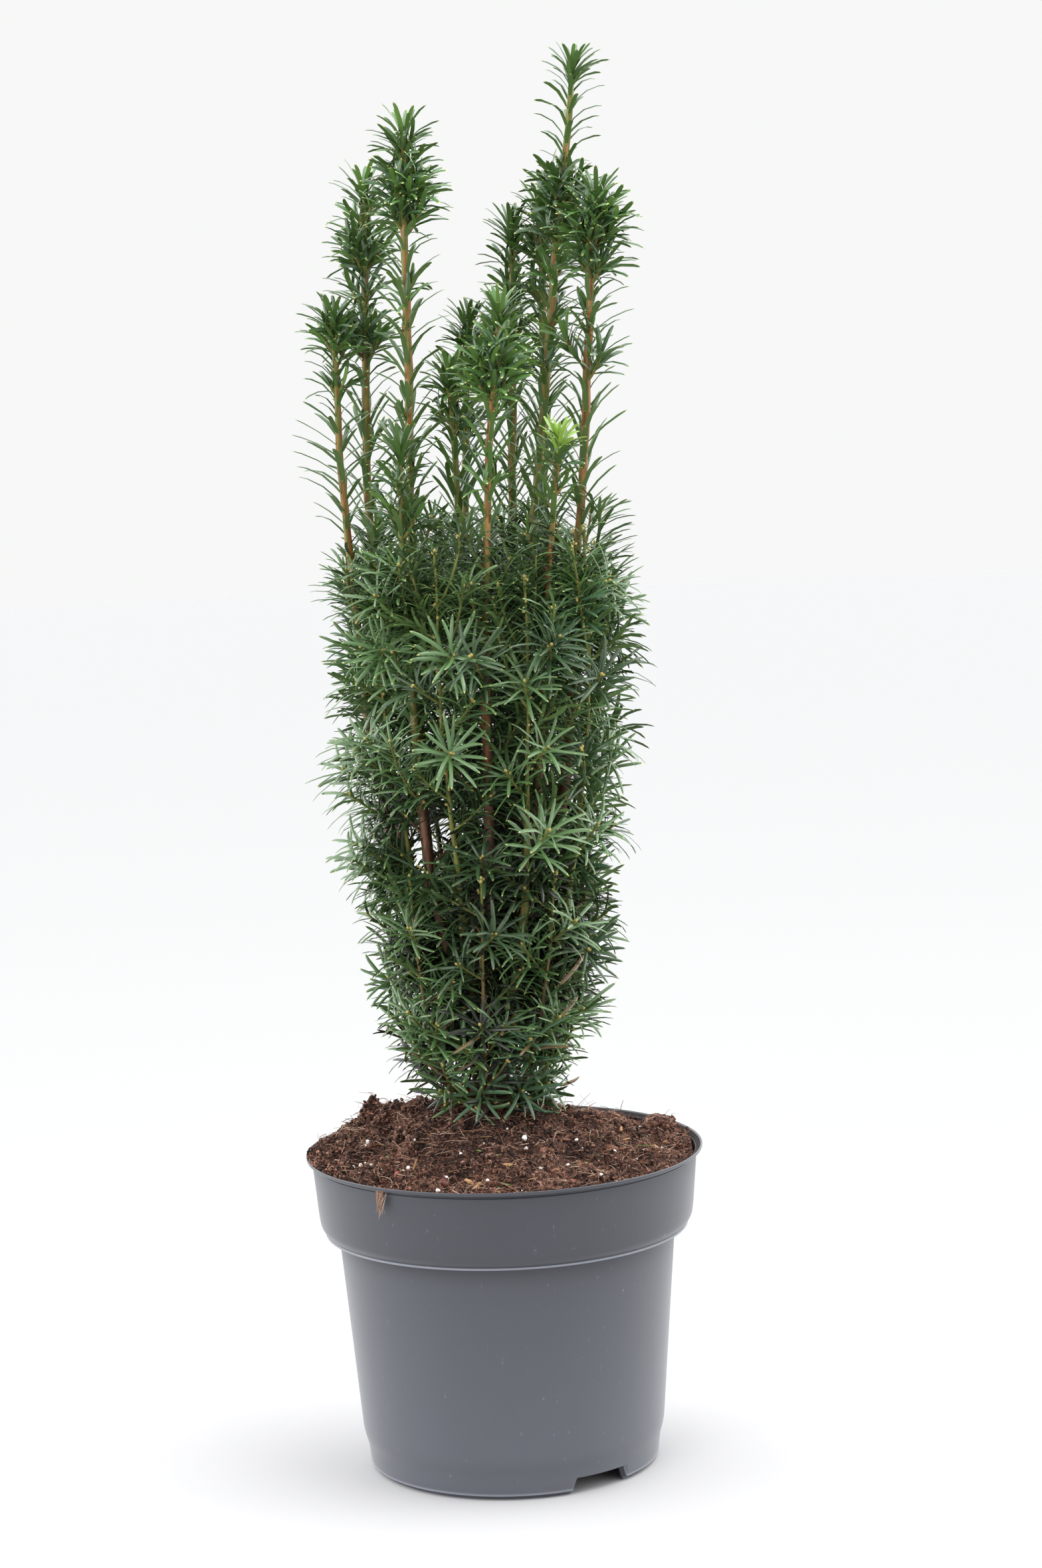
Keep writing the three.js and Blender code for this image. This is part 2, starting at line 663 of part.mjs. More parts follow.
function massGeometry(mass, index, masses, boughs, wideTrunk) {
  const dense = mass.kind !== 'leader';
  const size = dense ? BODY_NEEDLE : NEEDLE;
  const stemRadii = mass.stem.map((_, i) => (
    THREE.MathUtils.lerp(mass.radius * 0.86, TIP_RADIUS, i / (mass.stem.length - 1))
  ));
  const pieces = [limb(mass.stem, stemRadii, 4)];
  if (dense) pieces.push(coreGeometry(mass, 100 * index + 99, masses, boughs));
  const count = dense ? DENSE_NEEDLES : Math.round((mass.top - mass.entry) / LEADER_NEEDLE_PITCH);
  const needles = needlePlans(mass.stem, count, size, 100 * index, dense ? 0.15 : 0.04, 0.98);
  twigPlans(mass, 100 * index + 50).forEach((twig, k) => {
    if (!fits(mass, twig.root, twig.tip, TWIG_RADIUS, masses, boughs)) return;
    pieces.push(twigSolid(twig.root, twig.tip));
    const seed = 100 * index + 51 + k;
    needles.push(...needlePlans([twig.root, twig.tip], TWIG_NEEDLES, size, seed, 0.45, 0.8));
  });
  for (const needle of needles) {
    const tips = [1, SHORTENED].map((share) => needle.root.clone().lerp(needle.tip, share));
    const tip = tips.find((place) => fits(mass, needle.root, place, size.width / 2, masses, boughs));
    if (tip) pieces.push(needleSolid(needle.root, tip, needle.forward, size));
  }
  const solid = joined(pieces);
  return geometryOf(mass.kind === 'skirt' ? solid.subtract(wideTrunk) : solid);
}

// The whole plant

const plant = new THREE.Group();

function addPiece(name, geometry, color, roughness) {
  const material = new THREE.MeshStandardMaterial({ color, roughness, metalness: 0 });
  const mesh = new THREE.Mesh(geometry, material);
  mesh.name = name;
  plant.add(mesh);
}

const boughs = boughPlans();
placeBoughs(boughs);
const masses = [...boughs, ...skirtPlans()];
for (const mass of masses) {
  const low = mass.kind === 'skirt' ? mass.entry : mass.entry + GAP;
  mass.stem = pathAlong(mass.knots, low, mass.top, mass.kind === 'leader' ? 8 : 6);
}
const wideTrunk = solidOf(trunkGeometry(GAP));

addPiece('pot', potGeometry(), 0x5b5e63, 0.42);
addPiece('soil', soilGeometry(), 0x4a3226, 0.98);
addPiece('trunk', trunkGeometry(0), 0x6b4630, 0.9);
for (const bough of boughs) {
  addPiece(`bough_${bough.name}`, boughGeometry(bough, wideTrunk), 0x7d5434, 0.85);
}
masses.forEach((mass, index) => {
  const color = mass.kind === 'leader' ? 0x5c7a3c : 0x3c5532;
  addPiece(`foliage_${mass.name}`, massGeometry(mass, index + 1, masses, boughs, wideTrunk), color, 0.6);
});

export default plant;
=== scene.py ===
import math
from collections import namedtuple
from types import SimpleNamespace

import bpy
import numpy as np
from bpy.props import FloatProperty, FloatVectorProperty, IntProperty, PointerProperty
from mathutils import Matrix


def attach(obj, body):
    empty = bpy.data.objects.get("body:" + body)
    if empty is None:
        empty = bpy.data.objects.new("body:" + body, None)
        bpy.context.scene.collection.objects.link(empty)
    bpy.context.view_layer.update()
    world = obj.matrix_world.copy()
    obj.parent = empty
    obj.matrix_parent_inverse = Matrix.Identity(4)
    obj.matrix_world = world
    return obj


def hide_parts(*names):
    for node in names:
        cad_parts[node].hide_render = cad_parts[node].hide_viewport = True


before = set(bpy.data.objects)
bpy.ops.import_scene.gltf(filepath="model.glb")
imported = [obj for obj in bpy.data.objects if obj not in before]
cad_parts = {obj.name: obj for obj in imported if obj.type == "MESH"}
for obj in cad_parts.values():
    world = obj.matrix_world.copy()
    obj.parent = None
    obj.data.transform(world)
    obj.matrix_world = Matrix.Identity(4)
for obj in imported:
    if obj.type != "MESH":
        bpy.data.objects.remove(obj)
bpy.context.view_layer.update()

bl_info = {
    "name": "Potted yew",
    "version": (1, 0, 0),
    "blender": (4, 5, 0),
    "location": "3D View > Sidebar > Yew",
    "description": "Grows an upright English yew in a nursery pot on the limbs of its packed frame",
    "category": "Add Mesh",
}

# Shapes are worked out in millimetres, as the solids are, and go into the meshes in metres.
MM = 0.001
GOLDEN_ANGLE = math.radians(137.508)
NO_QUADS = np.zeros((0, 4), int)

# The pot
POT_COLUMNS = 216
LIP_DEPTH, LIP_STAND_OUT = 2.8, 4.1
BAND_DEPTH, BAND_TAPER = 56.3, 3.4
BODY_TOP_RADIUS, BODY_FOOT_RADIUS = 119.1, 107
FOOT_HEIGHT, FOOT_RADIUS, FOOT_RING_WIDTH = 19, 102.4, 5.4
# The height of the foot's outer edge, which stands off the ground
FOOT_EDGE = 3.1
WALL, FLOOR_HEIGHT = 1.8, 12
NOTCH_HEIGHT, NOTCH_HALF_BASE, NOTCH_HALF_TOP = 11.5, 24, 20.5
NOTCH_AZIMUTHS = (-54.5, 125.5)
DRAIN_RADIUS, DRAIN_CIRCLE, DRAINS = 7, 62, 4
SHARP_ANGLE = math.radians(32)

# The soil: its heights, and its humps as x, y, height and spread
SOIL_FRONT, SOIL_BACK, SOIL_CROWN = 220, 219, 255.5
SOIL_FLAT, SOIL_MOUND, SOIL_EDGE, SOIL_MIDDLE = 24, 128, 133.4, 14
# Round the stems the soil is smoother, between these distances
SMOOTH_SOIL = (16, 40)
SOIL_HUMPS = ((-84, 42, 17, 30), (-60, 92, 8, 14), (-128, -10, 9, 24), (-96, -78, 3, 26), (66, 102, 4.5, 28),
              (20, -96, 3, 18), (104, -50, 3, 22), (-112, 22, 6, 16), (126, 20, 3.5, 26), (110, 46, 8, 22),
              (-79, 46, -7, 8), (-94, 44, 8, 9), (-66, 52, 4, 8), (-104, 36, 2, 9))
# The rings of compost up the inside of the pot: radius and height
SOIL_SIDE = ((FOOT_RADIUS - 1.2, 14.1), (BODY_FOOT_RADIUS - 2.3, 25.5), (BODY_TOP_RADIUS - 2.3, 171.3),
             (125.4, 173.7), (129.9, 183.7), (131.6, 205), (SOIL_EDGE - 0.3, 216))

# Clods, perlite grains, chips and twigs that lie in known places: x, y and size. A chip has three half
# sizes and its finish, and a twig its length, bearing, thickness and finish.
CLOD_FLATNESS = 0.62
CLODS = ((113, 42, 12), (60, 104, 7), (24, -104, 6), (-82, 46, 10), (-60, 90, 8), (98, 6, 5), (-20, 70, 7),
         (-108, -20, 5), (70, -80, 4.5), (-48, -60, 4.5), (30, -40, 4), (-10, -84, 3.6), (84, 66, 6),
         (-90, 66, 6))
GRAINS = np.array((
    (-110, 35, 1.5), (-100, -45, 1.9), (-92, -60, 1.5), (-105, -50, 1.4), (-95, -20, 2.1), (-66, -82, 1.7),
    (-70, -86, 1.3), (-46, -107, 1.8), (-41, -110, 1.5), (-40, -94, 1.3), (-12, -100, 1.6), (14, -62, 2.1),
    (24, -89, 1.4), (76, -48, 1.9), (68, -70, 1.4), (110, 92, 1.5), (111, -12, 1.6), (50, -55, 1.4),
    (43, -87, 1.2), (15, -66, 1.5), (-97, -24, 1.2), (-30, -80, 1.0), (88, -60, 1.1), (100, 30, 1.3)))
CHIPS = ((-74, -81, 3.2, 1.8, 1.2, 5), (-41, -98, 5, 3.4, 2.2, 6), (-19, -108, 8.5, 3.2, 1.4, 2),
         (74, -36, 8, 4, 2.2, 1), (-1, -107, 7, 1.3, 0.7, 3), (-17, -74, 2.6, 1, 0.5, 3),
         (64, -53, 2.4, 1.1, 0.5, 3), (-24, -104, 5, 2.4, 1.6, 2))
TWIGS = np.array((
    (-112, 4, 12, 10, 0.7, 2), (-78, -60, 16, 25, 0.8, 2), (92, -5, 19, -30, 0.45, 3),
    (-68, -50, 9, 60, 0.5, 2), (96, 118, 10, 200, 0.6, 3), (-20, -60, 14, -15, 0.4, 2),
    (40, -70, 12, 160, 0.4, 4)))
# Loose bits by kind: how many, their smallest and largest half sizes, and their finishes
LOOSE_BITS = ((40, (2, 1.2, 0.5), (6, 3, 1.2), (1, 1, 2)), (34, (4, 0.7, 0.3), (8, 1.1, 0.5), (2, 4)),
              (22, (0.8, 0.5, 0.2), (2.4, 1, 0.4), (3,)))
# The finishes: name, colour and roughness
BIT_FINISHES = (("expanded_perlite", "#EEE9E3", 0.85), ("bark_chip_brown", "#6E4836", 0.8),
                ("bark_chip_tan", "#A9835A", 0.8), ("moss_bit", "#6F8F45", 0.7),
                ("fallen_needle", "#7C5E3C", 0.7), ("pink_husk", "#B4585C", 0.7),
                ("wet_bark_chip", "#5B2F25", 0.5))
FIBRE_FINISHES = (("red", "#6A4436"), ("tan", "#977059"), ("pale", "#CBAE97"))

# The trunk and the heights that divide the crown
TRUNK_FOOT, TRUNK_LEAN = np.array([-10.0, -2.0]), np.array([5.0, 2.0])
TRUNK_BASE, TRUNK_TOP = SOIL_CROWN + 0.3, 372
TRUNK_RADIUS, TRUNK_TIP_RADIUS = 12, 5.5
FLARE, FLARE_HEIGHT = 6, 9
KNEE_SHARE, KNEE_SPREAD = 0.3, 0.47
SPREAD_HEIGHT, WAIST_HEIGHT = 450, 660
LEADER_ENTRY, FLANK_ENTRY = 470, 408
SKIRT_FOOT, FIRST_FOOT, FOOT_STEP = 263, 278, 2
LIMB_CLEARANCE = 0.8
LEADER_RADIUS, FLANK_RADIUS = 4.4, 3.4
TIP_RADIUS, SHOOT_TIP_RADIUS = 1.5, 0.9
LEADER_DRAWN_IN = 110
# How far below a short leader's tip its body ends, and how high the needles stand wider above the body
BODY_DOWN, WIDE_RISE = 60, 88
# The heights between which bark goes from old to young, on leaders and on other shoots
LEADER_AGES, SHOOT_AGES = (430, 600), (300, 430)
# What a limb's radius comes to where it enters its mass
ENTRY_SHARE = 0.86

# The leaders: where each stands at the spread height and at the waist, its tip with the length of its tuft,
# how far below its mass's top its own tip ends and how far its whorls start below their needles' middle,
# how red its bark is, and its whorls of short shoots as height, count and length
LEADERS = (
    ("left_outer", (-72, 4), (-93, 0), (-97, 0, 822, 70), (15, 8), 0.6,
     ((803, 4, 10), (789, 5, 12), (768, 3, 9))),
    ("left_back", (-66, 30), (-78, 32), (-73, 32, 910, 130), (15, 10), 0.7,
     ((886, 3, 11), (866, 4, 14), (848, 5, 18), (822, 2, 20), (792, 6, 24), (727, 1, 12))),
    ("left_tall", (-46, -18), (-48, -22), (-43, -22, 938, 72), (8, 10), 0.55,
     ((924, 4, 12), (908, 5, 13), (892, 7, 19), (877, 5, 16), (831, 3, 9))),
    ("left_front", (-46, -46), (-54, -52), (-53, -52, 736, 50), (17, 12), 0.1, ((704, 2, 11), (676, 3, 17))),
    ("back", (-13, 52), (-12, 62), (-3, 62, 820, 66), (19, 14), 0.25,
     ((796, 4, 10), (776, 3, 13), (740, 2, 12))),
    ("centre", (-14, 18), (-16, 22), (-19, 22, 786, 56), (20, 15), 0.3, ((766, 4, 11), (745, 4, 13))),
    ("front", (-3, -52), (3, -62), (18, -62, 822, 62), (13, 16), 0.95,
     ((800, 4, 12), (779, 7, 19), (765, 6, 18), (702, 2, 11))),
    ("right_back", (12, 40), (22, 48), (29, 48, 880, 86), (14, 14), 0.35,
     ((856, 2, 9), (830, 3, 12), (802, 4, 15), (776, 4, 15))),
    ("right_fork", (34, 36), (44, 40), (50, 42, 896, 70), (17, 14), 0.4,
     ((874, 3, 11), (853, 5, 14), (828, 3, 14))),
    ("tallest", (14, 8), (36, 14), (74, 14, 977, 76), (3, 22), 0.45,
     ((911, 5, 14), (896, 6, 17), (872, 4, 15), (850, 3, 13), (814, 2, 10), (790, 2, 12))),
    ("right_tall", (46, -14), (67, -16), (86, -16, 886, 62), (2, 3), 0.8,
     ((866, 6, 15), (850, 8, 21), (833, 5, 17), (808, 2, 9), (768, 2, 27))),
    ("right_front", (28, -44), (47, -50), (56, -50, 735, 40), (12, 10), 0.75, ((716, 4, 9), (690, 2, 11))),
)
PALE_LEADER, FRESH_LEADER, WIDE_LEADER = "leader_front", "leader_right_front", "leader_left_outer"
SHADED_SKIRT = "skirt_2"

# The flanks: side boughs and their dense shoots, by azimuth from +X in degrees and by top
FLANKS = ((205, 648), (246, 664), (290, 645), (331, 676), (8, 655), (47, 640), (86, 652), (128, 644))
FLANK_ROUTE = ((58, FLANK_ENTRY), (78, 540))
FLANK_TIP_RADIUS, FLANK_DOWN, SKIRT_DOWN = 80, 13, 6

# The skirts: dense shoots that leave the foot of the trunk between the flanks, by radius and height
SKIRT_ROUTE = ((21, 266), (37, 279), (52, 308), (64, 355), (71, 397), (75, 434))
# The short shoots round a skirt's foot: height, length and first lean from upright
FOOT_SHOOTS = ((266, 24, 112), (268, 34, 102), (271, 38, 88), (277, 38, 68), (288, 36, 60), (300, 34, 54))
OUTER_SWING = 0.62

# Side shoots that stand out at the crown's left: dense shoot, height, bearing in degrees, length and first
# lean
LEFT_SHOOTS = (("flank_1", 342, 187, 34, 84), ("flank_1", 430, 192, 44, 78), ("flank_1", 462, 176, 50, 74),
               ("flank_1", 494, 198, 44, 66), ("flank_8", 452, 172, 46, 72), ("flank_1", 418, 184, 54, 80))

# How far the needles reach from the crown's middle line, by height, up to the waist
REACH_HEIGHTS = (262, 285, 306, 345, 383, 431, 502, 632, 690, 720)
REACH = (60, 75, 86, 98, 103, 118, 120, 121, 118, 112)
MIDDLE_HEIGHTS, MIDDLE_X = (263, 375, 430, 490, 560), (-9, -5, -9, -8, 0)
# How far short of the needles' reach a shoot's own tip ends, and how high any needle may stand
TIP_ROOM, INNER_ROOM, TOP_REACH = 24, 48, 994
# Within this share of the needles' reach, and below this height, growth takes dark tints: painted shade deep
# in the crown
INNER_SHARE, INNER_TOP = 0.53, 570

# Gaps in which the sky shows from the front: x, height and half sizes, and the share of growth that they
# lack
OPENINGS = ((-47, 438, 17, 27), (71, 650, 12, 18), (98, 480, 14, 19), (52, 300, 9, 14))
OPEN_SHARE = 0.8
EYE_HEIGHT, EYE_DISTANCE = 792, 2497

# A needle's stations along its length and its width there, as shares
NEEDLE_STATIONS = np.array([0, 0.05, 0.17, 0.48, 0.8, 0.94])
NEEDLE_WIDTHS = np.array([0.3, 0.62, 0.93, 1, 0.93, 0.62])
NEEDLE_KEEL = 0.2
# How deep its root is set in the stem, how short a held needle may be, how squarely one faces outwards that
# may be left out, and its gap above the soil
ROOT_DEPTH, LEAST_NEEDLE, FACING_OUT, SOIL_GAP = 0.85, 0.55, 0.64, 0.3
# The share of a shoot's length where its needles end, the height below which needles wither, and their
# shares
SHOOT_END, WITHERED_BELOW, WITHERED, WITHERED_INSIDE = 0.99, 400, 0.008, 0.035

# How the needles stand on each kind of shoot: the stem's radius, their pitch, the angles at which they
# leave the stem and arch to, the same at the shoot's tip and the share of it where they begin to close,
# how they crowd towards the tip, the share left bare, the scatter of the angles in degrees and of the
# sideways bow, the share left out of those that face outwards, whether the crown's reach, its gaps and
# the soil hold them back, and how wide they are
Habit = namedtuple("Habit", "stem pitch opens close close_from rush bare spread bow parted held width")
ON_LEADER = Habit(0, 0, (0, 0), (0, 0), 0.8, 1.0, 0, 7, 0.3, 0.5, False, 1.08)
UNDER_TUFT = Habit(0, 2.5, (28, 92), (28, 80), 0.8, 1.0, 0, 3, 0.15, 0, False, 1.04)
TUFT = Habit(1.3, 0.5, (34, 82), (12, 44), 0.3, 1.25, 0, 6, 0.16, 0, False, 1.12)
WHORL = Habit(1.1, 1.15, (34, 88), (14, 54), 0.55, 1.3, 0.15, 5, 0.14, 0, False, 1.14)
SMALL_TWIG = Habit(0.8, 0.9, (40, 68), (8, 20), 0.5, 1.2, 0, 4.5, 0.3, 0, False, 1.0)
COMB = Habit((1.6, 0.9), 1.5, (46, 92), (40, 70), 0.95, 1.0, 0, 4.5, 0.3, 0.75, True, 0.78)
SIDE = Habit(1.0, 1.12, (48, 92), (48, 74), 0.86, 1.3, 0.06, 4.5, 0.3, 0, True, 0.84)
UPRIGHT = Habit(1.1, 1.25, (44, 84), (34, 62), 0.84, 1.2, 0.05, 4.5, 0.3, 0.4, True, 0.8)
SLIM_UPRIGHT = Habit(1.0, 1.25, (44, 82), (32, 62), 0.82, 1.2, 0.05, 4.5, 0.3, 0, True, 0.82)
AT_FOOT = Habit(1.0, 1.3, (46, 78), (38, 60), 0.86, 1.35, 0.06, 4.5, 0.3, 0, True, 0.88)

# Tints of the needles, dealt out by spray: the upper side, the underside, and the ends. Light, deep and
# shaded are lighter and darker copies of one green, dealt by where a spray stands: light ones paint light on
# outer shoots, deep and shaded ones paint shade inside the crown
TINTS = {
    "deep": ("#2F4827", "#415730", "#67703D"),
    "blue": ("#3F5E40", "#506C3F", "#7C8858"),
    "mid": ("#4A683A", "#5A7440", "#8F9951"),
    "light": ("#527242", "#617D47", "#9CA563"),
    "shaded": ("#1B2315", "#252C19", "#37341F"),
    "tuft": ("#355529", "#4D6C2F", "#A6AC62"),
    "fresh": ("#48702F", "#62853A", "#B8BE78"),
    "spring": ("#82AB38", "#9DBE52", "#CDD58C"),
    "withered": ("#6E5A3C", "#7C6848", "#5F4E36"),
}
TINT_NAMES = tuple(TINTS)
GLOSSY_TINTS = ("light", "tuft", "fresh", "spring")

# The side shoots' bark, by the piece that their needles are joined in
SHOOT_COLOURS = {"leaders_left": "#6F7036", "leaders_right": "#736C38", "flanks": "#6B7436",
                 "skirts": "#666C34", "inside": "#5A4331"}


# Numbers and colours

def rgba(hex_colour):
    """The linear colour of an sRGB hex value, with an alpha of one."""
    channels = [int(hex_colour[i:i + 2], 16) / 255 for i in (1, 3, 5)]
    return (*(c / 12.92 if c <= 0.04045 else ((c + 0.055) / 1.055) ** 2.4 for c in channels), 1)


def unit(vectors):
    """Vectors divided by their lengths."""
    return vectors / np.maximum(np.linalg.norm(vectors, axis=-1, keepdims=True), 1e-12)


def lerp(low, high, share):
    """The low value plus a share of the way to the high one."""
    return low + (high - low) * share


def smooth(low, high, value):
    """Rises from 0 at low to 1 at high, level at both ends: three times the square less twice the cube."""
    t = np.clip((value - low) / (high - low or 1), 0, 1)
    return t * t * (3 - 2 * t)


def seeded(seed):
    """The source's even numbers from 0 to 1: each state is a fixed multiple of the last plus a constant."""
    state = (seed * 2654435761 + 12345) % 2 ** 32
    while True:
        state = (state * 1664525 + 1013904223) % 2 ** 32
        yield state / 2 ** 32


def noise(x, y, seed):
    """Random heights from -1 to 1 on a lattice one apart, joined by smooth blends along both ways."""
    table = np.random.default_rng(seed).uniform(-1, 1, 4096)
    i, j = np.floor(x).astype(np.int64), np.floor(y).astype(np.int64)
    u, v = smooth(0, 1, x - i), smooth(0, 1, y - j)

    def at(a, b):
        """The table's height at a place of the lattice, picked by a mix of its two numbers."""
        return table[(a * 73856093 ^ b * 19349663) & 4095]

    return lerp(lerp(at(i, j), at(i + 1, j), u), lerp(at(i, j + 1), at(i + 1, j + 1), u), v)


def turns(count):
    """Even turns: a full turn times each number from 0 on, divided by their count."""
    return math.tau * np.arange(count) / count


def around(turn, radius, z=0.0):
    """Points round the upright axis: the radius times a turn's cosine and sine, and the height."""
    return np.stack(np.broadcast_arrays(radius * np.cos(turn), radius * np.sin(turn), z), -1)


def swung(turn, side, up):
    """Directions swung from side towards up: side times the turn's cosine plus up times its sine."""
    turn = np.asarray(turn)[..., None]
    return np.cos(turn) * side + np.sin(turn) * up


def square_to(ways):
    """Two unit directions square to each of the ways along a path and to each other, without a twist."""
    mean = unit(ways.mean(0))
    reference = np.cross(mean, [0, 0, 1]) if abs(mean[2]) < 0.9 else np.array([1.0, 0, 0])
    side = unit(reference - (ways @ reference)[:, None] * ways)
    return side, np.cross(ways, side)


# Meshes

def grid_faces(rows, columns):
    """Quads of a grid of points given row by row, whose last column joins its first."""
    i, j = np.arange(rows - 1)[:, None] * columns, np.arange(columns)
    a, b = i + j, i + (j + 1) % columns
    return np.stack([a, b, b + columns, a + columns], -1).reshape(-1, 4)


def fan_faces(first, columns, pole, outward=True):
    """Triangles from a ring of points to its pole."""
    a = np.arange(columns)
    ends = (first + a, first + (a + 1) % columns)
    return np.stack([*ends[::1 if outward else -1], np.full(columns, pole)], 1)


def closed_faces(rows, columns):
    """A grid's quads, and the triangles that close its first and last rows on the two points after it."""
    count = rows * columns
    return grid_faces(rows, columns), np.vstack([
        fan_faces(0, columns, count, False), fan_faces(count - columns, columns, count + 1)])


def linked(name, data):
    """A new object with its data, put in the scene."""
    made = bpy.data.objects.new(name, data)
    bpy.context.scene.collection.objects.link(made)
    return made


class Shape:
    """Many small parts, gathered as arrays of points, quads and triangles for one joined mesh."""

    def __init__(self):
        self.points, self.values, self.count = [], {}, 0
        self.faces, self.slots = ([], []), ([], [])

    def add(self, points, quads, triangles, quad_slots=0, triangle_slots=0, **values):
        """Adds parts that share their faces, their points part by part. The slots are by part and face, and
        the values by point."""
        parts = points.reshape(-1, *points.shape[-2:])
        first = self.count + parts.shape[1] * np.arange(len(parts))[:, None, None]
        for kind, (faces, slots) in enumerate(((quads, quad_slots), (triangles, triangle_slots))):
            self.faces[kind].append((faces + first).reshape(-1, 4 - kind))
            self.slots[kind].append(np.broadcast_to(slots, (len(parts), len(faces))).ravel())
        for name, value in values.items():
            self.values.setdefault(name, []).append(value)
        self.points.append(parts.reshape(-1, 3))
        self.count += parts.size // 3

    def tube(self, path, radii, sides, relief=1.0, slot=0, **values):
        """A limb along a path: round each of its points, the radius there times the cosine and sine of an
        even turn, in a frame square to the path. relief scales the radius by ring and side. Both ends close
        on a pole."""
        forward = unit(np.gradient(path, axis=0))
        side, up = square_to(forward)
        reach = np.asarray(radii)[:, None] * np.ones(sides) * relief
        rings = path[:, None] + reach[..., None] * swung(turns(sides), side[:, None], up[:, None])
        poles = path[:1], path[-1:] + forward[-1:] * radii[-1] * 0.6
        points = np.vstack([rings.reshape(-1, 3), *poles])
        self.add(points, *closed_faces(len(path), sides), slot, slot, **values)

    def piece(self, name, materials, replaces=(), slot=None, sharp=None):
        """The joined mesh as a piece on the plant's one body. sharp says which edges are sharp from their
        two points."""
        points = np.concatenate(self.points) * MM
        quads, triangles = (np.concatenate(faces) for faces in self.faces)
        mesh = bpy.data.meshes.new(name)
        mesh.vertices.add(len(points))
        mesh.vertices.foreach_set("co", points.astype(np.float32).ravel())
        loops = np.concatenate([quads.ravel(), triangles.ravel()]).astype(np.int32)
        mesh.loops.add(len(loops))
        mesh.loops.foreach_set("vertex_index", loops)
        starts = np.concatenate([4 * np.arange(len(quads)), 4 * len(quads) + 3 * np.arange(len(triangles))])
        slots = np.concatenate([*self.slots[0], *self.slots[1]])
        mesh.polygons.add(len(starts))
        mesh.polygons.foreach_set("loop_start", starts.astype(np.int32))
        mesh.polygons.foreach_set("material_index", slots.astype(np.int32))
        mesh.polygons.foreach_set("use_smooth", np.ones(len(starts), bool))
        mesh.update(calc_edges=True)
        for key, values in self.values.items():
            attribute = mesh.attributes.new(key, "FLOAT", "POINT")
            attribute.data.foreach_set("value", np.concatenate(values).astype(np.float32))
        if sharp:
            ends = np.empty(len(mesh.edges) * 2, np.int32)
            mesh.edges.foreach_get("vertices", ends)
            marks = mesh.attributes.new("sharp_edge", "BOOLEAN", "EDGE")
            marks.data.foreach_set("value", sharp(ends.reshape(-1, 2)))
        for material in materials:
            mesh.materials.append(material)
        piece = linked(name, mesh)
        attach(piece, "root")
        if replaces:
            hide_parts(*replaces)
        return piece


# Materials

def node(owner, kind, links=(), out=0, stops=(), **named):
    """Adds a node to a material or world and gives its output, by name or number. Names in small letters
    are the node's settings, and the others its inputs; links gives inputs by number. An input takes a value
    or another node's output. stops gives a colour ramp its places and sRGB hex colours."""
    tree = owner.node_tree
    made = tree.nodes.new(f"ShaderNode{kind}")
    inputs = links if isinstance(links, dict) else dict(enumerate(links))
    for name, value in named.items():
        if name[0].islower():
            setattr(made, name, value)
        else:
            inputs[name.replace("_", " ")] = value
    for name, value in inputs.items():
        if isinstance(value, bpy.types.NodeSocket):
            tree.links.new(value, made.inputs[name])
        else:
            made.inputs[name].default_value = value
    for number, (position, hex_colour) in enumerate(stops):
        if number > 1:
            made.color_ramp.elements.new(1)
        made.color_ramp.elements[number].position = position
        made.color_ramp.elements[number].color = rgba(hex_colour)
    return made.outputs[out] if made.outputs else made


def emptied(owner):
    """A material or world whose nodes are cleared."""
    owner.use_nodes = True
    owner.node_tree.nodes.clear()
    return owner


def new_material(name, **sockets):
    """An empty material and its principled shader, with the shader's own sockets set."""
    made = emptied(bpy.data.materials.new(name))
    surface = node(made, "BsdfPrincipled", **sockets)
    node(made, "OutputMaterial", Surface=surface)
    return made, surface.node


def dressed(made, shader, colour, height=None, distance=0.0, strength=0.0):
    """The material with its colour and, from a height, its relief in metres."""
    made.node_tree.links.new(colour, shader.inputs["Base Color"])
    if height:
        bump = node(made, "Bump", Height=height, Distance=distance, Strength=strength)
        made.node_tree.links.new(bump, shader.inputs["Normal"])
    return made


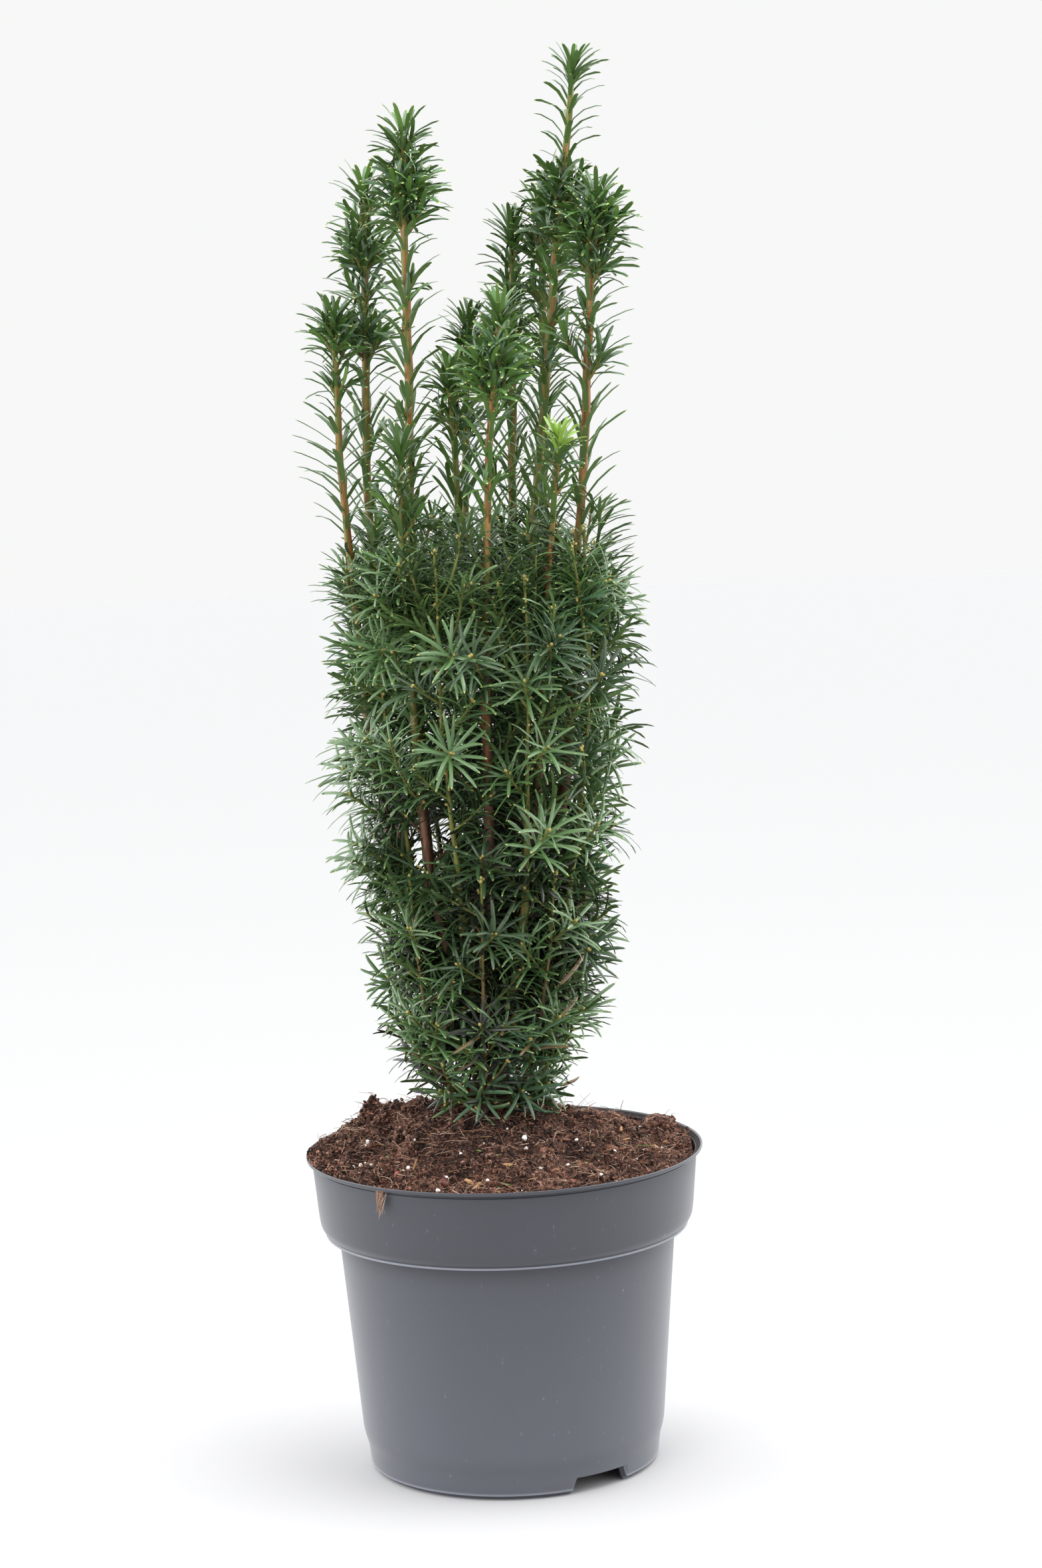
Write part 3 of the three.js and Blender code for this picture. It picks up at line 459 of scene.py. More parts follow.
def moulded_polypropylene(colour):
    """Injection-moulded polypropylene, grey: a satin skin with a fine moulded grain, cloudy flow marks
    about 60 mm across and small pale scuffs, painted paler below the band and towards the foot as light
    bounced from the floor, with painted highlights along the ledge under the band and round the foot's edge."""
    made, shader = new_material("moulded_polypropylene_grey", IOR=1.49, Sheen_Weight=0.26,
                                Sheen_Roughness=0.4)
    place_of = node(made, "TexCoord", out="Object")
    drawn = node(made, "Mapping", Vector=place_of, Scale=(1, 1, 0.45))
    clouds = node(made, "TexNoise", Vector=drawn, Scale=1 / 0.06, Detail=5, Roughness=0.6)
    dark, light = ((*(c * share for c in colour), 1) for share in (0.9, 1.1))
    base = node(made, "Mix", {0: clouds, 6: dark, 7: light}, 2, data_type="RGBA")
    specks = node(made, "TexNoise", Vector=drawn, Scale=1 / 0.004, Detail=4, Roughness=0.7)
    scuffs = node(made, "MapRange", Value=specks, From_Min=0.66, From_Max=0.8, To_Max=0.4)
    height = node(made, "SeparateXYZ", out="Z", Vector=place_of)
    # Painted light: paler just below the band and towards the foot, for light bounced up from the floor
    below = node(made, "MapRange", Value=height, From_Min=0.17, From_Max=0.152, To_Max=0.05)
    bounce_towards_foot = node(made, "MapRange", Value=height, From_Min=0.15, From_Max=0, To_Max=0.07)
    painted_bounce = node(made, "Math", (below, bounce_towards_foot))
    # A painted highlight along the ledge under the band
    edge = node(made, "Math", (height, 0.1697, 0.0007), operation="COMPARE")
    ledge_glint_and_bounce = node(made, "Math", (edge, 0.4, painted_bounce), operation="MULTIPLY_ADD")
    # A painted highlight round the foot's lower edge
    foot_edge = node(made, "Attribute", out="Fac", attribute_name="foot_edge")
    thin = node(made, "MapRange", Value=foot_edge, From_Min=0.8, To_Max=0.35)
    share = node(made, "Math", (scuffs, node(made, "Math", (thin, ledge_glint_and_bounce))))
    # The pale colour carries the scuffs and the painted light
    worn = node(made, "Mix", {0: share, 6: base, 7: rgba("#AEB3BE")}, 2, data_type="RGBA")
    rough = node(made, "MapRange", Value=clouds, To_Min=0.36, To_Max=0.43)
    made.node_tree.links.new(rough, shader.inputs["Roughness"])
    # The moulded grain is about 0.2 mm across; it is drawn at 0.7 mm so that it shows.
    grain = node(made, "TexNoise", Vector=place_of, Scale=1 / 0.0007, Detail=2)
    return dressed(made, shader, worn, grain, 0.00002, 0.6)


def peat_compost(name, dark, middle, light):
    """Moist peat compost: matt, with paler crumbs and fibres one to three millimetres across, and darker
    under the stems, where it stays wet and where the crown's shade is painted in."""
    made, shader = new_material(name, Roughness=0.93, Specular_IOR_Level=0.3)
    place_of = node(made, "TexCoord", out="Object")
    grain = node(made, "TexNoise", Vector=place_of, Scale=1 / 0.0022, Detail=7, Roughness=0.75)
    patches = node(made, "TexNoise", Vector=place_of, Scale=1 / 0.02, Detail=3)
    mixed = node(made, "Math", (patches, 0.25, grain), operation="MULTIPLY_ADD")
    colour = node(made, "ValToRGB", stops=((0.5, dark), (0.62, middle), (0.78, light)), Fac=mixed)
    # Darker near the stems: painted shade under the crown, and wetter peat
    from_stem = node(made, "VectorMath", (place_of, (-0.012, -0.03, 0.245)), "Value", operation="DISTANCE")
    moist = node(made, "MapRange", Value=from_stem, From_Min=0.025, From_Max=0.085, To_Min=0.5, To_Max=0)
    damp_and_shaded = node(made, "Mix", {0: moist, 6: colour, 7: rgba(dark)}, 2, data_type="RGBA")
    fine = node(made, "TexNoise", Vector=place_of, Scale=1 / 0.0011, Detail=5, Roughness=0.75)
    return dressed(made, shader, damp_and_shaded, fine, 0.0006, 0.9)


def stained_polypropylene():
    """The same plastic inside the pot's mouth, dull and nearly black: painted shade, over a film of wet peat
    in runs about 20 mm across.
    """
    made, shader = new_material("peat_stained_polypropylene", Roughness=0.8, Specular_IOR_Level=0.25)
    runs = node(made, "TexNoise", Vector=node(made, "TexCoord", out="Object"), Scale=1 / 0.02, Detail=4)
    colour = node(made, "ValToRGB", stops=((0.35, "#171413"), (0.7, "#322B28")), Fac=runs)
    return dressed(made, shader, colour)


def plain_matter(name, hex_colour, roughness, ior=1.45, coat=0.0):
    """A material whose colour has a place on the plant: plain, dealt out by spray or by grain."""
    return new_material(name, Base_Color=rgba(hex_colour), Roughness=roughness, IOR=ior, Coat_Weight=coat,
                        Coat_Roughness=0.35)[0]


def old_bark():
    """Yew bark on old wood: red-brown and grey-brown scales about 6 mm across that flake in long strips."""
    made, shader = new_material("flaking_yew_bark", Roughness=0.85)
    drawn = node(made, "Mapping", Vector=node(made, "TexCoord", out="Object"), Scale=(1, 1, 0.25))
    flakes = node(made, "TexNoise", Vector=drawn, Scale=1 / 0.006, Detail=5, Roughness=0.65)
    colour = node(made, "ValToRGB", Fac=flakes, stops=(
        (0.3, "#2B1D16"), (0.48, "#563524"), (0.6, "#7A4A31"), (0.75, "#A27C5E")))
    strips = node(made, "TexNoise", Vector=drawn, Scale=1 / 0.003, Detail=5, Roughness=0.7)
    return dressed(made, shader, colour, strips, 0.0006, 0.9)


def stem_bark():
    """Yew stems of one to three years: olive green ribs that run down from the needles, with orange-brown
    bark between them, streaked every 2 mm, and red-brown scales low down. The mesh gives the ribs, the
    redness and the age."""
    made, shader = new_material("ribbed_yew_stem", Roughness=0.55)
    drawn = node(made, "Mapping", Vector=node(made, "TexCoord", out="Object"), Scale=(1, 1, 0.11))
    streak = node(made, "TexNoise", Vector=drawn, Scale=1 / 0.0022, Detail=4, Roughness=0.6)
    scales = node(made, "TexNoise", Vector=drawn, Scale=1 / 0.004, Detail=5, Roughness=0.65)
    red, age, rib = (node(made, "Attribute", out="Fac", attribute_name=name)
                     for name in ("redness", "age", "rib"))
    green, orange, brown = (node(made, "ValToRGB", Fac=fac, stops=stops) for fac, stops in (
        (streak, ((0.3, "#54571F"), (0.55, "#6F7130"), (0.75, "#918C45"))),
        (streak, ((0.28, "#5E381C"), (0.5, "#8C5A2A"), (0.74, "#B67F48"))),
        (scales, ((0.3, "#2E1D17"), (0.52, "#5C3828"), (0.75, "#8A5F47")))))
    spread = node(made, "Math", (streak, 0.9, red), operation="MULTIPLY_ADD")
    less_rib = node(made, "Math", (rib, -0.75, spread), operation="MULTIPLY_ADD")
    share = node(made, "MapRange", Value=less_rib, From_Min=0.62, From_Max=0.92)
    young = node(made, "Mix", {0: share, 6: green, 7: orange}, 2, data_type="RGBA")
    whole = node(made, "Mix", {0: age, 6: young, 7: brown}, 2, data_type="RGBA")
    return dressed(made, shader, whole, streak, 0.00025, 0.7)


# Routes of the limbs, as in the source

def on_route(knots, heights):
    """Points of a route at some heights: cubic curves in height through its knots, whose slope at each knot
    is that of the chord between its neighbours."""
    knots, heights = np.asarray(knots, float), np.atleast_1d(np.asarray(heights, float))
    number = np.arange(len(knots))
    before, after = knots[np.maximum(number - 1, 0)], knots[np.minimum(number + 1, number[-1])]
    slopes = (after[:, :2] - before[:, :2]) / (after[:, 2:] - before[:, 2:])
    i = np.searchsorted(knots[1:-1, 2], heights, side="left")
    span = (knots[i + 1, 2] - knots[i, 2])[:, None]
    t = (heights[:, None] - knots[i, 2:3]) / span
    place_of = ((2 * t ** 3 - 3 * t ** 2 + 1) * knots[i, :2] + (t ** 3 - 2 * t ** 2 + t) * span * slopes[i]
                + (3 * t ** 2 - 2 * t ** 3) * knots[i + 1, :2] + (t ** 3 - t ** 2) * span * slopes[i + 1])
    return np.column_stack([place_of, heights])


def on_stem(plan, height):
    """The point of a limb's route at one height."""
    return on_route(plan.knots, height)[0]


def stretch(plan, *span):
    """Points of a limb's route at even heights between two, and how many."""
    return on_route(plan.knots, np.linspace(*span))


def trunk_centre(z):
    """The trunk's middle line: its foot plus its lean times the share of its height."""
    z = np.asarray(z, float)[..., None]
    rise = (z - TRUNK_BASE) / (TRUNK_TOP - TRUNK_BASE)
    return np.concatenate([TRUNK_FOOT + TRUNK_LEAN * rise, z], -1)


def trunk_radius(z):
    """An even taper, with a flare at the foot that dies away with height."""
    rise = np.clip((z - TRUNK_BASE) / (TRUNK_TOP - TRUNK_BASE), 0, 1)
    return lerp(TRUNK_RADIUS, TRUNK_TIP_RADIUS, rise) + FLARE * np.exp(-(z - TRUNK_BASE) / FLARE_HEIGHT)


def distance_to(path, points):
    """The distance of each point from the nearest place on a path of straight steps."""
    start, step = path[:-1], np.diff(path, axis=0)
    share = np.einsum("pik,ik->pi", points[:, None] - start, step) / (step ** 2).sum(1)
    nearest = start + np.clip(share, 0, 1)[..., None] * step
    return np.linalg.norm(points[:, None] - nearest, axis=-1).min(1)


def bough_plans():
    """The limbs that carry the leaders and the flanks. Each leaves the trunk at the lowest height that
    keeps it clear of those already placed, those that spread widest first."""
    plans = []
    for name, spread, waist, (*tip, tuft), (down, lower), redness, whorls in LEADERS:
        plans.append(SimpleNamespace(
            name=f"leader_{name}", kind="leader", group="leaders_left" if tip[0] < 0 else "leaders_right",
            spread=(*spread, SPREAD_HEIGHT), beyond=((*waist, WAIST_HEIGHT), tip), entry=LEADER_ENTRY,
            top=tip[2], tip=tip[2] - down, redness=redness, tuft=tuft, outward=None,
            radius=LEADER_RADIUS * lerp(0.75, 1, smooth(730, 900, tip[2])),
            whorls=[(z - lower, *rest) for z, *rest in whorls]))
    for number, (degrees, top) in enumerate(FLANKS):
        azimuth = math.radians(degrees)
        spread, *beyond = (around(azimuth, *at) for at in (*FLANK_ROUTE, (FLANK_TIP_RADIUS, top)))
        plans.append(SimpleNamespace(
            name=f"flank_{number + 1}", kind="flank", group="flanks", spread=spread, beyond=beyond,
            entry=FLANK_ENTRY, top=top, tip=top - FLANK_DOWN, redness=0.15, radius=FLANK_RADIUS,
            outward=azimuth))
    placed = []
    for plan in sorted(plans, key=lambda p: -math.hypot(*p.spread[:2])):
        for foot in range(FIRST_FOOT, TRUNK_TOP - 6, FOOT_STEP):
            start = trunk_centre(foot)
            knee = start[:2] + KNEE_SPREAD * (np.array(plan.spread[:2]) - start[:2])
            plan.foot, plan.knots = foot, [
                start, (*knee, foot + KNEE_SHARE * (plan.spread[2] - foot)), plan.spread, *plan.beyond]
            path = stretch(plan, foot, plan.entry, 25)
            off = np.linalg.norm(path - trunk_centre(path[:, 2]), axis=1)
            plan.outside = path[off + plan.radius > trunk_radius(path[:, 2])]
            clear = plan.radius + LIMB_CLEARANCE
            if all(distance_to(o.outside, plan.outside).min() > clear + o.radius for o in placed):
                placed.append(plan)
                break
        else:
            raise RuntimeError(f"no clear foot for {plan.name}")
    return plans


def skirt_plans():
    """The lowest dense shoots, one between each two flanks, from the foot of the trunk."""
    plans = []
    for number, (degrees, _) in enumerate(FLANKS):
        azimuth = math.radians(degrees + (FLANKS[(number + 1) % len(FLANKS)][0] - degrees) % 360 / 2)
        knots = [trunk_centre(SKIRT_FOOT)]
        for radius, z in SKIRT_ROUTE:
            middle = lerp(TRUNK_FOOT[0], 0, smooth(SKIRT_FOOT, WAIST_HEIGHT, z))
            knots.append(around(azimuth, radius, z) + (middle, 0, 0))
        top = SKIRT_ROUTE[-1][1]
        plans.append(SimpleNamespace(
            name=f"skirt_{number + 1}", kind="skirt", group="skirts", knots=knots, entry=SKIRT_FOOT,
            foot=SKIRT_FOOT, top=top, tip=top - SKIRT_DOWN, redness=0.1, radius=FLANK_RADIUS,
            outward=azimuth))
    return plans


# Growth: shoots, needles and buds

def along(path, shares):
    """Points and unit directions at shares of a path's length."""
    run = np.concatenate([[0], np.cumsum(np.linalg.norm(np.diff(path, axis=0), axis=1))])
    at = np.asarray(shares) * run[-1]
    points, ways = (np.stack([np.interp(at, run, column) for column in data.T], 1)
                    for data in (path, np.gradient(path, run, axis=0)))
    return points, unit(ways)


def bent_shoot(start, azimuth, length, lean_from, lean_to, wander=0.0, steps=9):
    """A side shoot's path: the sum of equal steps, whose angle from upright goes from one value to
    another."""
    share = (np.arange(steps) + 0.5) / steps
    lean, turn = np.radians(lerp(lean_from, lean_to, share ** 0.7)), azimuth + wander * share
    step = around(turn, np.sin(lean), np.cos(lean)) * length / steps
    return np.vstack([start, start + np.cumsum(step, axis=0)])


def middle_x(z):
    """Where the crown's middle line stands at each height, in straight steps."""
    return np.interp(z, MIDDLE_HEIGHTS, MIDDLE_X)


def off_middle(points):
    """How far points stand from the crown's middle line, and how far the needles reach at their heights."""
    x, y, z = points.T
    return np.hypot(x - middle_x(z), y), np.interp(z, REACH_HEIGHTS, REACH)


def drawn_in(path, short=TIP_ROOM):
    """A shoot whose tip would come too near the crown's outline is scaled down about its root, outwards
    more than upwards."""
    (first, last), (_, room) = off_middle(path[[0, -1]])
    room = room - short
    if last > max(room, first):
        share = max(0.2, (room - first) / (last - first))
        path = path[0] + (path - path[0]) * np.array([share, share, max(0.6, share)])
    return path


def in_opening(points):
    """Which points lie in a gap, seen from the front: each is drawn along its line of sight to the plane of
    the plant's middle, and set against the gaps' ellipses."""
    nearer = EYE_DISTANCE / (EYE_DISTANCE + points[:, 1])
    x, z = points[:, 0] * nearer, EYE_HEIGHT + (points[:, 2] - EYE_HEIGHT) * nearer
    return np.any([((x - a) / wide) ** 2 + ((z - b) / tall) ** 2 < 1
                   for a, b, wide, tall in OPENINGS], axis=0)


class Crown:
    """All that grows on the limbs, by the piece that it is joined into."""

    def __init__(self, settings):
        self.rng = np.random.default_rng(settings.seed)
        self.size = settings.needle_length / MM
        self.width = settings.needle_width / MM
        self.needles, self.shoots, self.buds = {}, {}, {}

    def tint(self, names):
        """The number of one of the tints named, drawn at random."""
        return TINT_NAMES.index(names[self.rng.integers(len(names))])

    def clothe(self, group, path, habit, length, tints, fresh=None):
        """Needles in a golden-angle spiral along a shoot, closer together towards its tip. Each leaves the
        stem at one angle and arches to a wider one, and those near the tip close."""
        rng = self.rng
        run = np.linalg.norm(np.diff(path, axis=0), axis=1).sum()
        count = max(4, int(run * (1 - habit.bare) / habit.pitch))
        u = (np.arange(count) + 0.5) / count
        shares = lerp(habit.bare, SHOOT_END, 1 - (1 - u) ** habit.rush)
        points, axis = along(path, shares)
        turn = rng.uniform(0, math.tau) + GOLDEN_ANGLE * np.arange(count) + rng.normal(0, 0.1, count)
        radial = swung(turn, *square_to(axis))
        closing = smooth(habit.close_from, 1, u)
        opened, arched = (np.radians(lerp(opens, closes, closing) + rng.normal(0, habit.spread * more, count))
                          for opens, closes, more in zip(habit.opens, habit.close, (1, 1.3)))
        size = length * lerp(0.74, 1, smooth(0, 0.3, u)) * lerp(1, 0.7, smooth(0.82, 1, u))
        size = size * rng.uniform(0.88, 1.08, count)
        stem = np.interp(shares, [0, 1], np.broadcast_to(habit.stem, 2))
        root = points + radial * (stem * ROOT_DEPTH)[:, None]
        keep = np.ones(count, bool)
        if habit.held:
            reach = root + size[:, None] * swung(arched, axis, radial)
            out, most = off_middle(reach)
            size = size * np.clip(1 - (out - (most + rng.uniform(-15, 4))) / size, 0.3, 1)
            ground = soil_height(reach[:, 0], reach[:, 1]) + SOIL_GAP
            above = (root[:, 2] - ground) / np.maximum(root[:, 2] - reach[:, 2], 1)
            size = size * np.where(reach[:, 2] < ground, np.clip(above, 0, 1), 1)
            away = unit((root - np.column_stack([middle_x(reach[:, 2]), 0 * out, 0 * out])) * (1, 1, 0))
            keep = size > LEAST_NEEDLE * length
            keep &= ~(((radial * away).sum(1) > FACING_OUT) & (rng.random(count) < habit.parted))
            keep &= ~(in_opening((root + reach) / 2) & (rng.random(count) < OPEN_SHARE))
        upward = np.maximum(size * np.cos(opened) * axis[:, 2], 1)
        size = size * np.clip((TOP_REACH - root[:, 2]) / upward, 0.3, 1)
        tint = np.full(count, self.tint(tints))
        if fresh:
            tint[u > rng.uniform(0.7, 0.86)] = self.tint(fresh)
        dying = rng.random(count) < (WITHERED_INSIDE if "shaded" in tints else WITHERED)
        tint[dying & (points[:, 2] < WITHERED_BELOW)] = TINT_NAMES.index("withered")
        width = self.width * habit.width * (size / self.size) ** 0.4 * rng.uniform(0.9, 1.08, count)
        self.needles.setdefault(group, []).append(np.column_stack([
            root, axis, radial, size, opened, arched, width, rng.normal(0, 0.3, count),
            rng.normal(0, habit.bow, count), tint])[keep])

    def bud(self, group, at, way, *sizes):
        """A bud's place, its direction, and its size, drawn evenly between two."""
        self.buds.setdefault(group, []).append(np.concatenate([at, unit(way), [self.rng.uniform(*sizes)]]))

    def side_buds(self, group, plan, heights):
        """Buds that sit on a dense shoot's outer side."""
        for height in heights:
            at = on_stem(plan, height + self.rng.uniform(-4, 4))
            away = around(plan.outward + self.rng.normal(0, 0.8), 1.0, 0.8)
            self.bud(group, at + away * 2.0, away, 1.0, 1.4)

    def grow(self, group, path, radii, buds=0):
        """A shoot's own stem, with buds at its tip."""
        self.shoots.setdefault(group, []).append((path, radii))
        _, (axis,) = along(path, [1.0])
        for number in range(buds):
            off = around(self.rng.uniform(0, math.tau), 1.5 if number else 0.2)
            self.bud(group, path[-1] + off - axis * (1.2 * number), axis + 0.5 * off, 0.95, 1.35)

    def shoot(self, group, path, radii, buds, *needles):
        """A shoot's stem with its buds, and then its needles."""
        self.grow(group, path, radii, buds)
        self.clothe(group, path, *needles)


def leader_radius(plan, z):
    """A leader's stem: nearly even for most of its height, then drawn in towards its tip as the root of the
    way left to go."""
    stout = plan.radius * ENTRY_SHARE
    share = np.clip((plan.tip - z) / LEADER_DRAWN_IN, 0, 1)
    return lerp(TIP_RADIUS, lerp(stout * 0.74, stout, smooth(WAIST_HEIGHT, LEADER_ENTRY, z)), share ** 0.55)


def dress_leader(crown, plan, index):
    """A leader: sparse arching needles up its clear stem, dense ones in the body, whorls of short tufted
    shoots at the ends of its years' growth, and a tuft at its tip."""
    group, tip, rng, size = plan.group, plan.tip, crown.rng, crown.size
    body_top, tuft_foot = min(WAIST_HEIGHT, tip - BODY_DOWN), tip - plan.tuft
    wide_top = min(body_top + WIDE_RISE, tuft_foot)
    above = (2.5, (46, 82), 1.3) if plan.name == WIDE_LEADER else (3.0, (28, 58), 1.14)
    for low, high, (pitch, angles, share) in ((LEADER_ENTRY, body_top, (2.5, (42, 82), 1.0)),
                                              (body_top, wide_top, above),
                                              (wide_top, tuft_foot, (2.9, (32, 76), 1.02))):
        if high - low > 9:
            stem = leader_radius(plan, np.array([low, high]))
            habit = ON_LEADER._replace(stem=stem, pitch=pitch, opens=angles, close=angles)
            tints = ("mid", "tuft", "mid")
            # Low in the body the leader's needles take deep tints, painted shade inside the crown
            if low == LEADER_ENTRY:
                habit, tints = habit._replace(held=True, width=0.92), ("deep", "mid")
            crown.clothe(group, stretch(plan, low, high, 30), habit, size * share, tints)
    stem = leader_radius(plan, np.array([tuft_foot, tip - 8]))
    crown.clothe(group, stretch(plan, tuft_foot, tip - 8, 20), UNDER_TUFT._replace(stem=stem), size * 0.9,
                 ("tuft", "mid"))
    if plan.name == FRESH_LEADER:
        crown.clothe(group, stretch(plan, tip - 13, tip, 6), TUFT, size * 0.7, ("spring",), ("spring",))
    else:
        fresh = ("fresh",) if rng.random() < 0.65 else None
        crown.clothe(group, stretch(plan, tip - 13, tip, 6), TUFT, size * 0.9, ("tuft",), fresh)
    # The front leader's whorls are paler: yellower growth, with painted light where it faces the front
    whorled = ("fresh", "fresh", "tuft") if plan.name == PALE_LEADER else ("tuft", "tuft", "mid", "fresh")
    for height, count, length in plan.whorls:
        phase = rng.uniform(0, math.tau)
        for k in range(count):
            path = bent_shoot(on_stem(plan, height + rng.uniform(-5, 5)), phase + k * GOLDEN_ANGLE,
                              length * rng.uniform(0.75, 1.1), 58, rng.uniform(14, 32), 0.2, 6)
            grown = size * lerp(0.7, 0.9, smooth(9, 18, length))
            crown.shoot(group, path, (1.5, 1.0), 0, WHORL, grown, whorled, ("fresh", "tuft", "tuft"))
    for height in np.arange(body_top + 14, tuft_foot - 12, 30):
        start = on_stem(plan, height + rng.uniform(-9, 9))
        if rng.random() < 0.4:
            path = bent_shoot(start, rng.uniform(0, math.tau), rng.uniform(5, 9), 55, 30, 0, 4)
            crown.shoot(group, path, (0.9, 0.7), 0, SMALL_TWIG, size * 0.42, ("fresh", "tuft"), ("fresh",))
    side_shoots(crown, plan, index, group, LEADER_ENTRY + 8, body_top - 36, 25, (34, 54), (56, 26))
    # Upright shoots at the body's top, mostly in light tints: painted light from above
    phase = rng.uniform(0, math.tau)
    for number in range(3):
        path = drawn_in(bent_shoot(on_stem(plan, 594 + 18 * number + rng.uniform(-6, 6)),
                                   phase + number * GOLDEN_ANGLE, rng.uniform(44, 60) - 6 * number, 46, 12,
                                   rng.uniform(-0.5, 0.5)))
        crown.shoot(group, path, (1.2, 0.8), 2, SLIM_UPRIGHT, size * 0.95, ("light", "mid", "light"),
                    ("light", "fresh"))


def side_shoots(crown, plan, index, group, low, high, step, lengths, leans,
                dealt=("deep", "blue", "mid", "mid", "light"), short=TIP_ROOM):
    """Side shoots up a stem by the source's rule, a golden angle apart with a seeded wander and swung
    outwards on the outer masses, each carried on to a star of needles round its buds."""
    rule, rng = seeded(100 * index + 50), crown.rng
    for number, height in enumerate(np.arange(low, high, step)):
        azimuth = (number * GOLDEN_ANGLE + next(rule)) % math.tau - math.pi
        if plan.outward is not None:
            azimuth = plan.outward + azimuth * OUTER_SWING
        start = on_stem(plan, height)
        away = math.atan2(start[1], start[0] - middle_x(height))
        length = lerp(*lengths, next(rule)) * lerp(0.8, 1.05, (math.cos(azimuth - away) + 1) / 2)
        path = drawn_in(bent_shoot(start, azimuth, length, leans[0], leans[1] + rng.uniform(-12, 28),
                                   rng.uniform(-0.4, 0.4)), short)
        if in_opening(path[-1:])[0] and rng.random() < OPEN_SHARE:
            continue
        crown.grow(group, path, (1.0, 0.75), rng.integers(1, 4))
        out, reach = off_middle(path[-1])
        share, tints = out / (INNER_SHARE * reach), dealt
        # Shoots that end deep inside the crown take dark tints, painted shade
        if share < 1 and path[-1, 2] < INNER_TOP and "shaded" not in dealt:
            tints = ("shaded", "deep") if share < 0.75 else ("deep", "mid", "mid")
        size = crown.size * rng.uniform(0.95, 1.12)
        crown.clothe(group, path, SIDE._replace(width=rng.uniform(0.76, 0.9)), size, tints)


def dress_flank(crown, plan, index, low):
    """A dense outer shoot: needles in a comb up its whole stem, side shoots on its outer side, and a
    star."""
    group, tip, rng, size = plan.group, plan.tip, crown.rng, crown.size
    flank = plan.kind == "flank"
    # The comb along the stem lies inside the shoot's star and takes deep tints, painted shade
    comb, dealt = ("mid", "deep", "mid"), ("mid", "deep", "mid", "light")
    if flank:
        dealt = ("blue", "mid", "deep", "mid", "light", "light")
    if plan.name == SHADED_SKIRT:
        comb, dealt = ("shaded",), ("shaded", "deep", "deep", "blue")
    stem = stretch(plan, low, tip, 50)
    crown.clothe(group, stem, COMB, size, comb)
    top = tip - (44 if flank else 22)
    side_shoots(crown, plan, index, group, low + 8, top, 22, (28, 46), (62, 40), dealt)
    crown.grow(group, stem[-3:], (1.2, 0.9), 3)
    for name, height, bearing, length, lean in LEFT_SHOOTS:
        if name == plan.name:
            path = drawn_in(bent_shoot(on_stem(plan, height), math.radians(bearing), length, lean, lean - 26,
                                       0.2))
            crown.shoot(group, path, (1.1, 0.8), 2, SIDE._replace(pitch=1.2), size * 1.08, ("mid", "light"))
    if flank:
        crown.side_buds(group, plan, np.arange(low + 40, tip - 8, 13))
        for number in range(5):
            start = on_stem(plan, tip - 88 + 11 * number + rng.uniform(-6, 6))
            azimuth = plan.outward + (1.3 if number % 2 else -1.3) + rng.uniform(-0.5, 0.5)
            # Shoots turned inwards take the deep tint, painted shade; those turned outwards take light tints,
            # painted light
            turned, tints, fresh = ((math.pi, ("deep",), ("mid", "deep")) if number > 2 else
                                    (0, ("light", "mid", "light"), ("light", "fresh")))
            path = drawn_in(bent_shoot(start, azimuth + turned, rng.uniform(48, 64), 38, 8,
                                       rng.uniform(-0.5, 0.5)))
            crown.shoot(group, path, (1.3, 0.8), 2, UPRIGHT, size, tints, fresh)
    else:
        for number, (height, length, lean) in enumerate(FOOT_SHOOTS):
            swing = (0.55 if number % 2 else -0.55) * (1 + 0.3 * math.sin(7 * index + number))
            path = drawn_in(bent_shoot(on_stem(plan, height), plan.outward + swing, length, lean,
                                       lean * (0.95 if lean > 80 else 0.6), 0.2))
            crown.shoot(group, path, (1.0, 0.75), 2, AT_FOOT, size * 1.05,
                        ("blue", "mid", "mid", "light", "shaded"))


def dress_inside(crown, plans):
    """The older shoots inside the crown, on the boughs below their masses: shorter and partly bare, in the
    shaded tints that paint the shade inside the crown.
    """
    for number, plan in enumerate(plans):
        for index, low, high, step, leans, tints in (
                (60, plan.foot + 10, 350, 26, (70, 30), ("shaded",)),
                (90, 354, plan.entry - 4, 20, (62, 34), ("shaded", "deep"))):
            side_shoots(crown, plan, index + number, "inside", low, high, step, (30, 52), leans, tints,
                        INNER_ROOM)


